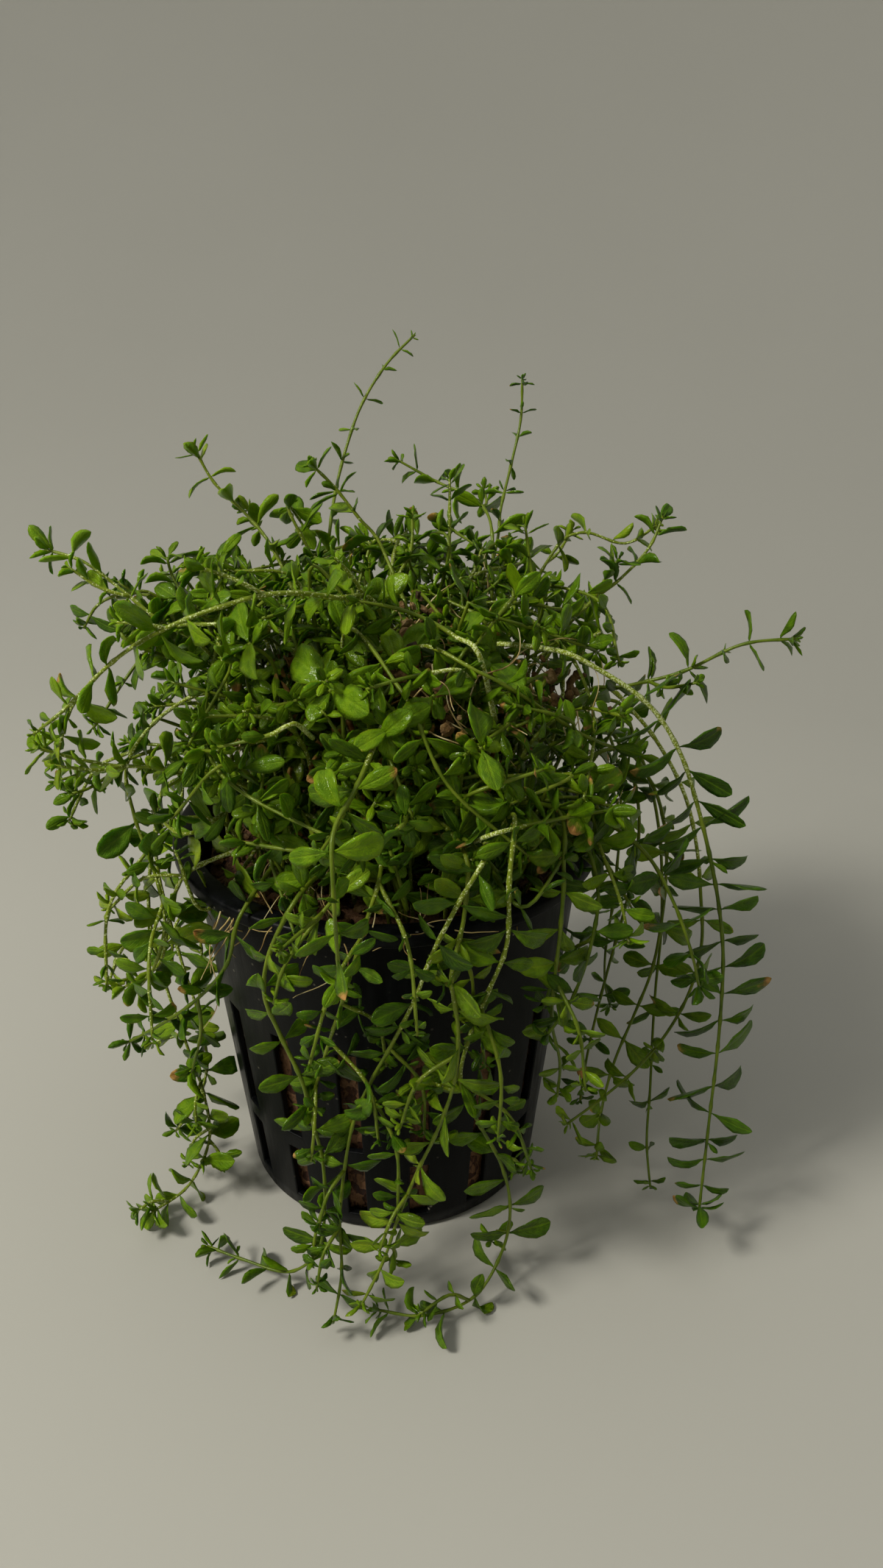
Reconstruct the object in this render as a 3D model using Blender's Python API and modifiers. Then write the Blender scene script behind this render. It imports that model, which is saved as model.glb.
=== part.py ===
"""Pearlweed growing from a slotted black plant pot.

A thin tapered pot holds a plug of fibrous growing medium. Thin shoots root in the
plug. Their leafy lower lengths crowd into one dense mound that bulges over the lip,
and their ends rise from it or arch out and hang beside the pot; a few lie along the
surface that the pot stands on. The leaves sit on the stems in opposite pairs, each
pair turned a quarter from the one before.
"""
import math

import bpy
import bmesh
import numpy as np
from mathutils import Vector, noise
from mathutils.bvhtree import BVHTree

MM = 0.001

# Pot, in millimetres
POT_HEIGHT = 51.0
LIP_RADIUS = 27.5
LIP_DEPTH = 1.8
WALL = 0.9
WALL_TOP_RADIUS = 25.4
BASE_RADIUS = 20.4
BASE_THICKNESS = 1.2
BASE_CHAMFER = 0.6
SLOT_COUNT = 16
SLOT_WIDTH = 2.5
SLOT_ROWS = ((2.6, 11.8), (14.4, 31.0))
POT_STEPS = 48

# Growing medium, in millimetres
GAP = 0.35
MEDIUM_EDGE_HEIGHT = 45.6
MEDIUM_CROWN = 1.6
MEDIUM_STEPS = 36

# Leafy mound, in millimetres
MOUND_TOP = 85.5
MOUND_RADIUS = 30.6
MOUND_WIDEST = 67.0
MOUND_LEAN = (-0.02, 0.20)
MOUND_STEPS = 34
MOUND_RINGS = 10
CLUMP_SIZE = 8.0
CLUMP_DEPTH = 3.0
LEAF_RELIEF = 2.4

# Shoots, in millimetres
STEM_RADIUS = 0.45
STEM_CLEARANCE = 1.45
SOLID_CLEARANCE = 1.0
EASING_ROUNDS = 120
LEAF_LENGTH = 6.0
LEAF_HALF_WIDTH = 1.9
LEAF_SWEEP = 1.9
LEAF_ROOT_DEPTH = 0.5
LEAF_SPACING = 6.8
TIP_LEAF = 0.55
LEAF_MARGIN = 0.14


def remove_everything():
    for thing in list(bpy.data.objects):
        bpy.data.objects.remove(thing, do_unlink=True)


def new_collection(name):
    collection = bpy.data.collections.new(name)
    bpy.context.scene.collection.children.link(collection)
    return collection


def plain_material(name, colour, roughness, metallic=0.0):
    material = bpy.data.materials.new(name)
    material.use_nodes = True
    shader = material.node_tree.nodes["Principled BSDF"]
    shader.inputs["Base Color"].default_value = (*colour, 1.0)
    shader.inputs["Roughness"].default_value = roughness
    shader.inputs["Metallic"].default_value = metallic
    material.diffuse_color = (*colour, 1.0)
    return material


def turned_solid(name, profile, steps, collection):
    """Spin a profile of (radius, height) about the upright axis; both ends are on it."""
    mesh = bpy.data.meshes.new(name)
    points = [(r * MM, 0.0, z * MM) for r, z in profile]
    edges = [(i, i + 1) for i in range(len(points) - 1)]
    mesh.from_pydata(points, edges, [])
    solid = bpy.data.objects.new(name, mesh)
    collection.objects.link(solid)
    screw = solid.modifiers.new("Turn", "SCREW")
    screw.axis = "Z"
    screw.angle = math.tau
    screw.steps = steps
    screw.render_steps = steps
    screw.use_merge_vertices = True
    screw.merge_threshold = 0.00001
    screw.use_normal_calculate = False
    return solid


def pot_profile():
    inner_base = BASE_RADIUS - WALL
    inner_top = WALL_TOP_RADIUS - WALL
    return [
        (0.0, BASE_THICKNESS),
        (inner_base, BASE_THICKNESS),
        (inner_top, POT_HEIGHT - 0.5),
        (inner_top + 0.5, POT_HEIGHT),
        (LIP_RADIUS - 0.5, POT_HEIGHT),
        (LIP_RADIUS, POT_HEIGHT - 0.5),
        (LIP_RADIUS, POT_HEIGHT - LIP_DEPTH),
        (WALL_TOP_RADIUS, POT_HEIGHT - LIP_DEPTH - 0.3),
        (BASE_RADIUS, BASE_CHAMFER),
        (BASE_RADIUS - BASE_CHAMFER, 0.0),
        (0.0, 0.0),
    ]


def wall_radius(height):
    """Outer radius of the pot's wall at a height."""
    return BASE_RADIUS + (WALL_TOP_RADIUS - BASE_RADIUS) * height / POT_HEIGHT


def slot_cutter(row, collection):
    """One ring of upright bars, one bar for each slot of the row."""
    low, high = SLOT_ROWS[row]
    middle = (low + high) / 2
    mesh = bpy.data.meshes.new(f"slot_bars_{row}")
    shape = bmesh.new()
    for index in range(SLOT_COUNT):
        angle = math.tau * (index + 0.5) / SLOT_COUNT
        made = bmesh.ops.create_cube(shape, size=1.0)["verts"]
        radius = wall_radius(middle)
        for corner in made:
            across = corner.co.y * SLOT_WIDTH
            along = radius + corner.co.x * 7.0
            up = middle + corner.co.z * (high - low)
            corner.co = Vector((
                (along * math.cos(angle) - across * math.sin(angle)) * MM,
                (along * math.sin(angle) + across * math.cos(angle)) * MM,
                up * MM,
            ))
    shape.to_mesh(mesh)
    shape.free()
    cutter = bpy.data.objects.new(f"slot_bars_{row}", mesh)
    cutter.hide_render = True
    cutter.display_type = "WIRE"
    collection.objects.link(cutter)
    return cutter


def build_pot(parts, cutters, material):
    pot = turned_solid("pot", pot_profile(), POT_STEPS, parts)
    for row in range(len(SLOT_ROWS)):
        cut = pot.modifiers.new(f"Slots {row}", "BOOLEAN")
        cut.operation = "DIFFERENCE"
        cut.solver = "EXACT"
        cut.object = slot_cutter(row, cutters)
    pot.data.materials.append(material)
    return pot


def medium_height(x, y):
    """Height of the medium's crumbly top above a point of the pot's base."""
    radius = math.hypot(x, y)
    crown = MEDIUM_CROWN * (1.0 - (radius / WALL_TOP_RADIUS) ** 2)
    lumps = 0.5 * math.sin(x * 0.55 + 1.0) * math.cos(y * 0.62)
    return MEDIUM_EDGE_HEIGHT + crown + lumps


def build_medium(parts, material):
    bottom = BASE_THICKNESS + GAP
    slope = (WALL_TOP_RADIUS - BASE_RADIUS) / POT_HEIGHT
    side = GAP + WALL + 0.1
    low_radius = BASE_RADIUS + slope * bottom - side
    high_radius = wall_radius(MEDIUM_EDGE_HEIGHT) - side
    rings = [(high_radius * k / 4, MEDIUM_EDGE_HEIGHT) for k in range(5)]
    profile = rings + [(low_radius, bottom), (0.0, bottom)]
    medium = turned_solid("growing_medium", profile, MEDIUM_STEPS, parts)
    graph = bpy.context.evaluated_depsgraph_get()
    mesh = bpy.data.meshes.new_from_object(medium.evaluated_get(graph))
    medium.modifiers.clear()
    medium.data = mesh
    for vertex in mesh.vertices:
        if vertex.co.z > 0.5 * MEDIUM_EDGE_HEIGHT * MM:
            vertex.co.z = medium_height(vertex.co.x / MM, vertex.co.y / MM) * MM
    mesh.materials.clear()
    mesh.materials.append(material)
    return medium


def mound_profile():
    """From the crown over the bulge, in under it to the lip and down to the medium."""
    profile = []
    for k in range(MOUND_RINGS):
        turn = math.pi / 2 * k / (MOUND_RINGS - 1)
        rise = (MOUND_TOP - MOUND_WIDEST) * math.cos(turn)
        profile.append((MOUND_RADIUS * math.sin(turn), MOUND_WIDEST + rise))
    inner = WALL_TOP_RADIUS - WALL - GAP
    floor = MEDIUM_EDGE_HEIGHT + MEDIUM_CROWN + GAP + 0.6
    profile += [
        (MOUND_RADIUS - 1.2, 61.0),
        (MOUND_RADIUS - 3.5, 55.5),
        (LIP_RADIUS - 0.2, POT_HEIGHT + GAP),
        (inner - 0.3, POT_HEIGHT + GAP),
        (inner - 0.8, floor + 0.4),
        (inner * 0.5, floor),
        (0.0, floor),
    ]
    return profile


def mound_heart():
    return Vector((0.0, 0.0, MOUND_WIDEST - 5.0))


def build_mound(parts, material):
    """The leafy mound as one solid, pushed in and out where leaves clump together."""
    mound = turned_solid("foliage_mound", mound_profile(), MOUND_STEPS, parts)
    graph = bpy.context.evaluated_depsgraph_get()
    mesh = bpy.data.meshes.new_from_object(mound.evaluated_get(graph))
    mound.modifiers.clear()
    mound.data = mesh
    for vertex in mesh.vertices:
        point = vertex.co / MM
        fade = min(1.0, max(0.0, (point.z - POT_HEIGHT - 2.0) / 6.0))
        clump = noise.noise(point / CLUMP_SIZE) * CLUMP_DEPTH * fade
        lean = Vector((*MOUND_LEAN, 0.0)) * max(0.0, point.z - 60.0)
        vertex.co = (point + lean + (point - mound_heart()).normalized() * clump) * MM
    mesh.shade_flat()
    mesh.materials.clear()
    mesh.materials.append(material)
    return mound


def raise_leaf_tips(mound, lines):
    """Draw a leaf tip out of each face of the mound, clear of the stems that leave it."""
    stems = np.array([tuple(a.lerp(b, t)) for line in lines for a, b in zip(line, line[1:])
                      for t in (0.0, 0.25, 0.5, 0.75)])
    shape = bmesh.new()
    shape.from_mesh(mound.data)
    leafy = [f for f in shape.faces if f.calc_center_median().z > (POT_HEIGHT + 4.0) * MM]
    for tip in bmesh.ops.poke(shape, faces=leafy)["verts"]:
        point = tip.co / MM
        outward = (point - mound_heart()).normalized()
        free = np.sqrt(((stems - np.array(point)) ** 2).sum(1)).min() - STEM_CLEARANCE
        height = LEAF_RELIEF * (1.0 + 0.8 * noise.noise(point * 0.71))
        height = min(height, max(0.0, free * 0.6))
        sideways = noise.noise_vector(point * 0.37).cross(outward) * height
        tip.co = (point + outward * height + sideways) * MM
    bmesh.ops.triangulate(shape, faces=shape.faces)
    shape.to_mesh(mound.data)
    shape.free()


# Each shoot: where it roots (x, y), how long its leaves are against the usual
# length, and the points it passes. The front of the pot faces -Y.
SHOOTS = {
    "shoot_tall_back_left": ((-4, 7), 0.5, (
        (-6, 10, 58), (-9, 17, 74), (-8, 22, 84), (-7, 27, 90), (-5, 30, 96), (-2, 32, 102),
        (4, 34, 108))),
    "shoot_tall_back_right": ((6, 9), 0.6, (
        (8, 12, 60), (13, 18, 77), (15, 24, 86), (17, 29, 93), (18, 31, 98), (18, 32, 103))),
    "shoot_upper_left": ((-4, 3), 1.0, (
        (-6, 4, 62), (-9, 3, 75), (-14, 8, 85), (-18, 11, 89), (-22, 12, 93), (-24, 13, 97))),
    "shoot_upper_middle": ((4, 0), 1.0, (
        (6, -2, 60), (4, -2, 76), (1, 3, 84), (-2, 5, 88), (-6, 6, 93), (-9, 6, 96))),
    "shoot_upright_middle": ((8, 1), 0.9, (
        (8, 0, 62), (8, 3, 79), (8, 7, 85), (8, 9, 90), (8, 10, 94))),
    "shoot_upright_right": ((13, 4), 0.9, (
        (17, 2, 60), (19, 3, 77), (18, 5, 83), (17, 7, 89))),
    "shoot_back_arc": ((11, 13), 0.8, (
        (13, 14, 66), (14, 20, 82), (12, 25, 87), (8, 28, 88.5), (3, 29, 89.5), (0, 30, 92))),
    "shoot_right_back": ((13, 8), 1.0, (
        (16, 6, 62), (22, 6, 74), (27, 8, 79), (32, 9, 83), (35, 11, 89))),
    "shoot_right_back_upper": ((9, 17), 1.0, (
        (12, 14, 62), (20, 17, 79), (25, 19, 84), (29, 19, 83), (33, 18, 83), (36, 17, 86))),
    "shoot_left_far": ((-11, -1), 1.0, (
        (-14, -2, 62), (-20, -6, 76), (-27, -4, 80), (-33, -2, 85), (-40, 0, 87))),
    "shoot_left_shoulder": ((-9, 6), 1.0, (
        (-14, 6, 64), (-24, 6, 76), (-31, 5, 80), (-35, 5, 79), (-38, 4, 75))),
    "shoot_left_rosette": ((-12, 4), 1.0, (
        (-16, 2, 64), (-21, 0, 77), (-25, 2, 82), (-26, 3, 86))),
    "shoot_right_arm": ((17, 0), 1.0, (
        (18, -2, 60), (24, -4, 70), (31, -8, 73), (38, -10, 77), (43, -12, 80.5), (47, -12, 80))),
    "shoot_right_arch": ((4, -4), 0.95, (
        (6, 0, 66), (9, -5, 76), (15, -10, 78.5), (21, -12, 78), (28, -12, 74), (33, -12, 69),
        (37, -11, 60), (40, -12, 50), (42, -13, 40), (42, -16, 29), (41, -20, 17), (40, -24, 6))),
    "shoot_right_loop": ((16, -5), 1.0, (
        (20, 2, 63), (27, 4, 68), (34, 2, 62), (39, 0, 53), (41, -3, 42), (41, -6, 32),
        (36, -11, 24), (29, -17, 21), (22, -22, 19))),
    "shoot_right_back_hang": ((20, 4), 0.9, (
        (23, 7, 62), (29, 9, 65), (34, 9, 56), (37, 8, 46), (38, 5, 33), (37, 0, 22),
        (36, -7, 13), (35, -13, 7), (35, -18, 4))),
    "shoot_right_thin": ((20, 8), 0.8, (
        (24, 11, 58), (30, 12, 58), (34, 10, 50), (34, 7, 40), (31, 3, 28), (28, -2, 17),
        (26, -9, 11))),
    "shoot_right_inner": ((20, -1), 0.8, (
        (24, 0, 58), (31, 2, 60), (36, 1, 51), (37, 0, 39), (35, -4, 28), (31, -9, 22),
        (28, -15, 15), (27, -20, 11))),
    "shoot_front_right_short": ((15, -10), 0.9, (
        (17, -12, 57), (21, -15, 61), (25, -20, 57), (27, -24, 53), (28, -26, 48))),
    "shoot_front_right_curl": ((11, -10), 0.9, (
        (13, -11, 56), (19, -16, 62), (24, -21, 57), (24, -25, 50), (22, -26, 44), (18, -28, 37))),
    "shoot_front_right_drop": ((8, -10), 0.9, (
        (10, -12, 58), (17, -19, 66), (20, -24, 61), (20, -27, 52), (20, -27, 40), (21, -25, 32),
        (21, -24, 25))),
    "shoot_front_long_right": ((12, -15), 0.9, (
        (13, -17, 56), (15, -23, 68), (14, -30, 62), (14, -32, 54), (12, -31, 46), (10, -30, 39),
        (9, -30, 34), (11, -29, 27), (15, -29, 17), (15, -29, 8), (13, -31, 3), (9, -35, 2.4),
        (4, -36, 2.4), (-2, -35, 2.4))),
    "shoot_front_long_left": ((6, -14), 1.0, (
        (8, -16, 56), (12, -24, 64), (11, -30, 61), (7, -32, 54), (4, -31, 45), (1, -31, 38),
        (-3, -30, 28), (-5, -32, 16), (-5, -35, 7), (-6, -38, 2.4))),
    "shoot_front_middle": ((3, -10), 0.9, (
        (5, -13, 58), (9, -26, 64), (9, -31, 57), (8, -33, 48), (9, -33, 40), (7, -33, 30),
        (3, -34, 20), (0, -35, 10), (-3, -38, 5))),
    "shoot_front_overhang": ((0, -6), 0.9, (
        (1, -10, 63), (1, -20, 73), (-1, -32, 72), (-3, -39, 70.5), (-3, -42, 67), (-3, -42, 62),
        (-3, -41, 57), (-3, -40, 52))),
    "shoot_front_left_long": ((-1, -12), 1.0, (
        (0, -15, 57), (1, -26, 61), (-1, -31, 55), (-3, -32, 48), (-5, -31, 41), (-7, -30, 34),
        (-9, -29, 27))),
    "shoot_front_left_short": ((1, -19), 1.0, (
        (0, -21, 54), (-2, -27, 58), (-5, -32, 57), (-8, -33.5, 54), (-10, -34, 50),
        (-11, -34, 46))),
    "shoot_front_left_trail": ((-6, -15), 0.9, (
        (-6, -19, 54), (-7, -27, 58), (-10, -30.5, 54), (-12, -31, 49), (-12, -30, 42),
        (-9, -30, 35), (-7, -30, 20), (-8, -31, 8), (-12, -30, 3), (-17, -28, 2.4),
        (-24, -25, 2.4))),
    "shoot_left_tips": ((-9, -12), 1.0, (
        (-11, -14, 54), (-14, -22, 56), (-17, -24, 46), (-22, -23, 39), (-28, -22, 34),
        (-32, -21, 31))),
    "shoot_left_hang": ((-13, -11), 1.0, (
        (-14, -13, 54), (-19, -18, 56), (-24, -17, 51), (-26, -17, 44), (-28, -17, 39),
        (-33, -17, 36))),
    "shoot_left_long_arch": ((-2, -1), 1.0, (
        (2, -4, 66), (2, -9, 80), (-3, -15, 85), (-9, -20, 87.5), (-17, -22, 86), (-24, -21, 82.5),
        (-30, -18.5, 77.5), (-34, -17, 72.5), (-36, -17, 67))),
    "shoot_left_loop": ((-10, -6), 1.0, (
        (-13, -4, 60), (-19, -7, 71), (-25, -9.5, 70), (-29, -12, 66), (-29, -14, 60.5),
        (-27, -17, 56), (-25, -20, 50), (-26, -21, 44), (-30, -20, 38))),
    "shoot_left_middle": ((-6, -9), 1.0, (
        (-8, -12, 58), (-13, -16, 63), (-18, -17, 65.5), (-25, -18, 67), (-31, -19, 68), (-37, -21, 71))),
    "shoot_left_floor": ((-16, -6), 0.9, (
        (-20, -8, 55), (-27, -9, 55), (-30, -9, 42), (-28, -10, 28), (-25, -11, 14),
        (-25, -14, 6), (-28, -17, 3.5), (-32, -21, 3))),
    "shoot_left_low_hang": ((-19, -1), 0.9, (
        (-23, 0, 56), (-29, 1, 55), (-31, 1, 44), (-28, -3, 30), (-25, -7, 20), (-26, -8, 14),
        (-28, -8, 9), (-31, -8, 5))),
    "shoot_left_low_side": ((-17, 5), 0.9, (
        (-21, 7, 56), (-27, 9, 56), (-29, 8, 44), (-27, 4, 28), (-28, 0, 20), (-31, -2, 17),
        (-35, -2, 16))),
    "shoot_left_side": ((-15, 0), 1.0, (
        (-18, 0, 56), (-24, -3, 63), (-30, -6, 63), (-34, -10, 61), (-37, -13, 61))),
    "shoot_left_back_hang": ((-14, 10), 0.9, (
        (-18, 14, 57), (-25, 19, 60), (-29, 22, 51), (-29, 21, 38), (-27, 20, 26), (-29, 22, 14))),
    "shoot_left_back": ((-10, 15), 1.0, (
        (-14, 18, 60), (-22, 24, 70), (-29, 28, 72), (-34, 30, 76))),
    "shoot_back_hang_left": ((-5, 17), 0.9, (
        (-7, 20, 57), (-12, 26, 62), (-16, 31, 54), (-17, 33, 40), (-16, 31, 24), (-17, 32, 10),
        (-21, 36, 3))),
    "shoot_back_hang_middle": ((0, 16), 0.9, (
        (0, 20, 60), (0, 28, 65), (2, 35, 56), (4, 36, 40), (3, 33, 24), (1, 32, 11), (-2, 35, 4))),
    "shoot_back_hang_right": ((6, 17), 1.0, (
        (9, 20, 58), (15, 26, 62), (20, 30, 52), (22, 30, 38), (20, 28, 24), (22, 29, 14))),
    "shoot_right_back_low": ((16, 12), 0.9, (
        (20, 14, 57), (28, 18, 59), (33, 19, 48), (33, 16, 32), (32, 15, 18), (34, 17, 8))),
    "shoot_right_side": ((18, -10), 1.0, (
        (21, -12, 57), (28, -16, 58), (33, -19, 52), (36, -21, 45), (38, -20, 38))),
}


def smooth_path(points, step=1.0):
    """Dense points of a rounded curve through the given ones."""
    ends = [points[0] * 2 - points[1]] + list(points) + [points[-1] * 2 - points[-2]]
    path = []
    for a, b, c, d in zip(ends, ends[1:], ends[2:], ends[3:]):
        count = max(2, int((c - b).length / step))
        for k in range(count):
            t = k / count
            path.append(0.5 * (2 * b + (c - a) * t + (2 * a - 5 * b + 4 * c - d) * t * t
                               + (3 * b - a - 3 * c + d) * t ** 3))
    path.append(points[-1].copy())
    return path


def is_inside(point, solid):
    """Whether a slanted line up from the point leaves the solid one time more than it enters."""
    way = Vector((0.11, 0.07, 0.99))
    crossings = 0
    hit = solid.ray_cast(point, way)[0]
    while hit is not None:
        crossings += 1
        hit = solid.ray_cast(hit + way * 0.001, way)[0]
    return crossings % 2 == 1


def clear_of_mound(path, mound):
    """The end of a path that lies outside the mound's solid."""
    start = 0
    for k, point in enumerate(path):
        if is_inside(point, mound) or mound.find_nearest(point)[3] < STEM_RADIUS + GAP:
            start = k + 1
    return path[start:]


def even_nodes(path, spacing):
    """Points at equal steps along a path, both ends kept."""
    lengths = [0.0]
    for a, b in zip(path, path[1:]):
        lengths.append(lengths[-1] + (b - a).length)
    count = max(3, round(lengths[-1] / spacing))
    nodes = []
    at = 0
    for k in range(count + 1):
        want = lengths[-1] * k / count
        while at < len(path) - 2 and lengths[at + 1] < want:
            at += 1
        share = (want - lengths[at]) / (lengths[at + 1] - lengths[at])
        nodes.append(path[at].lerp(path[at + 1], min(1.0, share)))
    return nodes


def nearest_on_segments(p, q, r, s):
    """Shares along the segments p-q and r-s where they come nearest, for all pairs."""
    u = q - p
    v = s - r
    w = p[:, None] - r[None]
    a = (u * u).sum(1)[:, None]
    c = (v * v).sum(1)[None]
    b = u @ v.T
    d = (u[:, None] * w).sum(2)
    e = (v[None] * w).sum(2)
    bottom = np.maximum(a * c - b * b, 1e-9)
    first = np.clip((b * e - c * d) / bottom, 0.0, 1.0)
    second = np.clip((b * first + e) / c, 0.0, 1.0)
    first = np.clip((b * second - d) / a, 0.0, 1.0)
    return first, second


def push_off(points, solids, clearance):
    """How far each point must move to stand clear of every solid."""
    moves = np.zeros_like(points)
    for k, point in enumerate(points):
        here = Vector(point)
        for tree in solids:
            nearest, normal, _, distance = tree.find_nearest(here, 14.0)
            if nearest is None:
                continue
            away = here - nearest
            outside = away.dot(normal) >= 0.0 or not is_inside(here, tree)
            gap = distance if outside else -distance
            if gap < clearance:
                way = away.normalized() if outside else normal
                moves[k] += np.array(way * (clearance - gap))
    return moves


def keep_apart(lines, solids):
    """Ease the stems off each other and off the solids."""
    owner = np.concatenate([[k] * len(line) for k, line in enumerate(lines)])
    place = np.concatenate([np.arange(len(line)) for line in lines])
    points = np.array([tuple(p) for line in lines for p in line])
    first = np.array([i for i in range(len(points) - 1) if owner[i] == owner[i + 1]])
    second = first + 1
    same = owner[first][:, None] == owner[first][None]
    near = np.abs(place[first][:, None] - place[first][None]) < 3
    skip = (same & near) | ~np.triu(np.ones_like(same), 1)
    for _ in range(EASING_ROUNDS):
        p, q = points[first], points[second]
        t, u = nearest_on_segments(p, q, p, q)
        here = p[:, None] + t[..., None] * (q - p)[:, None]
        there = p[None] + u[..., None] * (q - p)[None]
        apart = here - there
        distance = np.sqrt((apart ** 2).sum(2))
        distance[skip] = 99.0
        rows, columns = np.nonzero(distance < STEM_CLEARANCE)
        move = np.zeros_like(points)
        for i, j in zip(rows, columns):
            gap = distance[i, j]
            way = apart[i, j] / gap if gap > 1e-4 else np.array((0.0, 0.0, 1.0))
            push = way * (STEM_CLEARANCE + 0.05 - gap) * 0.5
            move[first[i]] += push * (1.0 - t[i, j])
            move[second[i]] += push * t[i, j]
            move[first[j]] -= push * (1.0 - u[i, j])
            move[second[j]] -= push * u[i, j]
        for share in (0.0, 0.2, 0.4, 0.6, 0.8, 1.0):
            sample = p + (q - p) * share
            shove = push_off(sample, solids, SOLID_CLEARANCE)
            np.add.at(move, first, shove * (1.0 - share) * 0.5)
            np.add.at(move, second, shove * share * 0.5)
        points += move
        if np.abs(move).max() < 0.002:
            break
    return [[Vector(p) for p in points[owner == k]] for k in range(len(lines))]


def frames_along(nodes):
    """A side direction and a cross direction for each node, carried along the stem."""
    directions = []
    for k in range(len(nodes)):
        before = nodes[max(0, k - 1)]
        after = nodes[min(len(nodes) - 1, k + 1)]
        directions.append((after - before).normalized())
    start = Vector((0.31, -0.95, 0.05))
    side = (start - directions[0] * start.dot(directions[0])).normalized()
    frames = []
    for direction in directions:
        side = (side - direction * side.dot(direction)).normalized()
        frames.append((direction, side, direction.cross(side)))
    return frames


def shoot_rings(nodes, leaf_share, sizes, margin=0.0):
    """Rings of four points up a shoot; each leaf pair is one ring drawn out to its tips."""
    rings = []
    marks = []
    frames = frames_along(nodes)
    last = len(nodes) - 1
    thin = STEM_RADIUS + margin
    for k, (node, (direction, side, cross)) in enumerate(zip(nodes, frames)):
        if not any(sizes[k]):
            rings.append([node + side * thin, node + cross * thin,
                          node - side * thin, node - cross * thin])
            marks.append(None)
            continue
        shrink = TIP_LEAF if k == last else 1.0
        centre = node - direction * 0.9 if k == last else node
        length = LEAF_LENGTH * leaf_share * shrink
        width = LEAF_HALF_WIDTH * leaf_share * shrink
        sweep = LEAF_SWEEP * leaf_share * (1.3 if k == last else 1.0)
        depth = LEAF_ROOT_DEPTH
        low = centre - direction * depth
        high = centre + direction * depth
        taper = 1.0 if k < last else 0.7
        rings.append([low + side * thin, low + cross * thin,
                      low - side * thin, low - cross * thin])
        marks.append(None)
        ways = (side, cross, -side, -cross)
        tips = (0, 2) if k % 2 else (1, 3)
        ring = []
        for corner in range(4):
            size = sizes[k][0] if corner == tips[0] else sizes[k][1]
            if corner in tips:
                out = max(thin, length * size)
                lift = sweep * size
                ring.append(centre + ways[corner] * (out + margin) + direction * lift)
            else:
                out = max(thin, width * max(sizes[k]))
                ring.append(centre + ways[corner] * (out + margin))
        rings.append(ring)
        marks.append((k, tips))
        rings.append([high + side * thin * taper, high + cross * thin * taper,
                      high - side * thin * taper, high - cross * thin * taper])
        marks.append(None)
    return rings, marks


def ring_faces(count):
    """Triangles between rings of four points, with both ends closed."""
    faces = [(3, 2, 1), (3, 1, 0)]
    for k in range(count - 1):
        low = 4 * k
        high = low + 4
        for corner in range(4):
            following = (corner + 1) % 4
            faces.append((low + corner, low + following, high + following))
            faces.append((low + corner, high + following, high + corner))
    top = 4 * (count - 1)
    faces.append((top, top + 1, top + 2))
    faces.append((top, top + 2, top + 3))
    return faces


def leaf_of_face(face, marks):
    """Which leaf of which pair a triangle belongs to, or None for bare stem."""
    for vertex in face:
        mark = marks[vertex // 4]
        if mark and vertex % 4 in mark[1]:
            return mark[0], mark[1].index(vertex % 4)
    for vertex in face:
        mark = marks[vertex // 4]
        if mark:
            return mark[0], None
    return None


def trim_leaves(lines, shares, solids):
    """Shorten leaves until none reaches another shoot, the pot or the surface."""
    sizes = [[[float(k > 0)] * 2 for k in range(len(line))] for line in lines]
    for _ in range(16):
        trees = []
        for line, share, size in zip(lines, shares, sizes):
            rings, marks = shoot_rings(line, share, size, LEAF_MARGIN)
            faces = ring_faces(len(rings))
            tree = BVHTree.FromPolygons([p for ring in rings for p in ring], faces)
            owners = [leaf_of_face(face, marks) for face in faces]
            trees.append((tree, owners))
        cuts = set()
        for i, (tree, owners) in enumerate(trees):
            for other in solids:
                for face, _ in tree.overlap(other):
                    if owners[face]:
                        cuts.add((i, owners[face]))
            for j in range(i + 1, len(trees)):
                for mine, theirs in tree.overlap(trees[j][0]):
                    if owners[mine]:
                        cuts.add((i, owners[mine]))
                    if trees[j][1][theirs]:
                        cuts.add((j, trees[j][1][theirs]))
        if not cuts:
            break
        for shoot, (node, leaf) in sorted(cuts, key=str):
            for which in (0, 1) if leaf is None else (leaf,):
                shorter = sizes[shoot][node][which] * 0.8
                sizes[shoot][node][which] = shorter if shorter > 0.3 else 0.0
    return sizes


def stem_lines(mound, solids):
    """The stems' nodes outside the mound, eased clear of each other and of the solids."""
    lines = []
    for (x, y), _, passes in SHOOTS.values():
        root = Vector((x, y, medium_height(x, y)))
        path = smooth_path([root] + [Vector(p) for p in passes])
        lines.append(even_nodes(clear_of_mound(path, mound), LEAF_SPACING))
    return keep_apart(lines, solids)


def build_shoots(parts, materials, lines, solids):
    shares = [share for _, share, _ in SHOOTS.values()]
    sizes = trim_leaves(lines, shares, solids)
    for index, name in enumerate(SHOOTS):
        rings, _ = shoot_rings(lines[index], shares[index], sizes[index])
        mesh = bpy.data.meshes.new(name)
        points = [p * MM for ring in rings for p in ring]
        mesh.from_pydata(points, [], ring_faces(len(rings)))
        mesh.materials.append(materials[index % len(materials)])
        shoot = bpy.data.objects.new(name, mesh)
        parts.objects.link(shoot)


def search_tree(thing):
    """A finished solid's surface, in millimetres, for finding what is near it."""
    graph = bpy.context.evaluated_depsgraph_get()
    mesh = thing.evaluated_get(graph).to_mesh()
    points = [v.co / MM for v in mesh.vertices]
    return BVHTree.FromPolygons(points, [tuple(p.vertices) for p in mesh.polygons])


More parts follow.
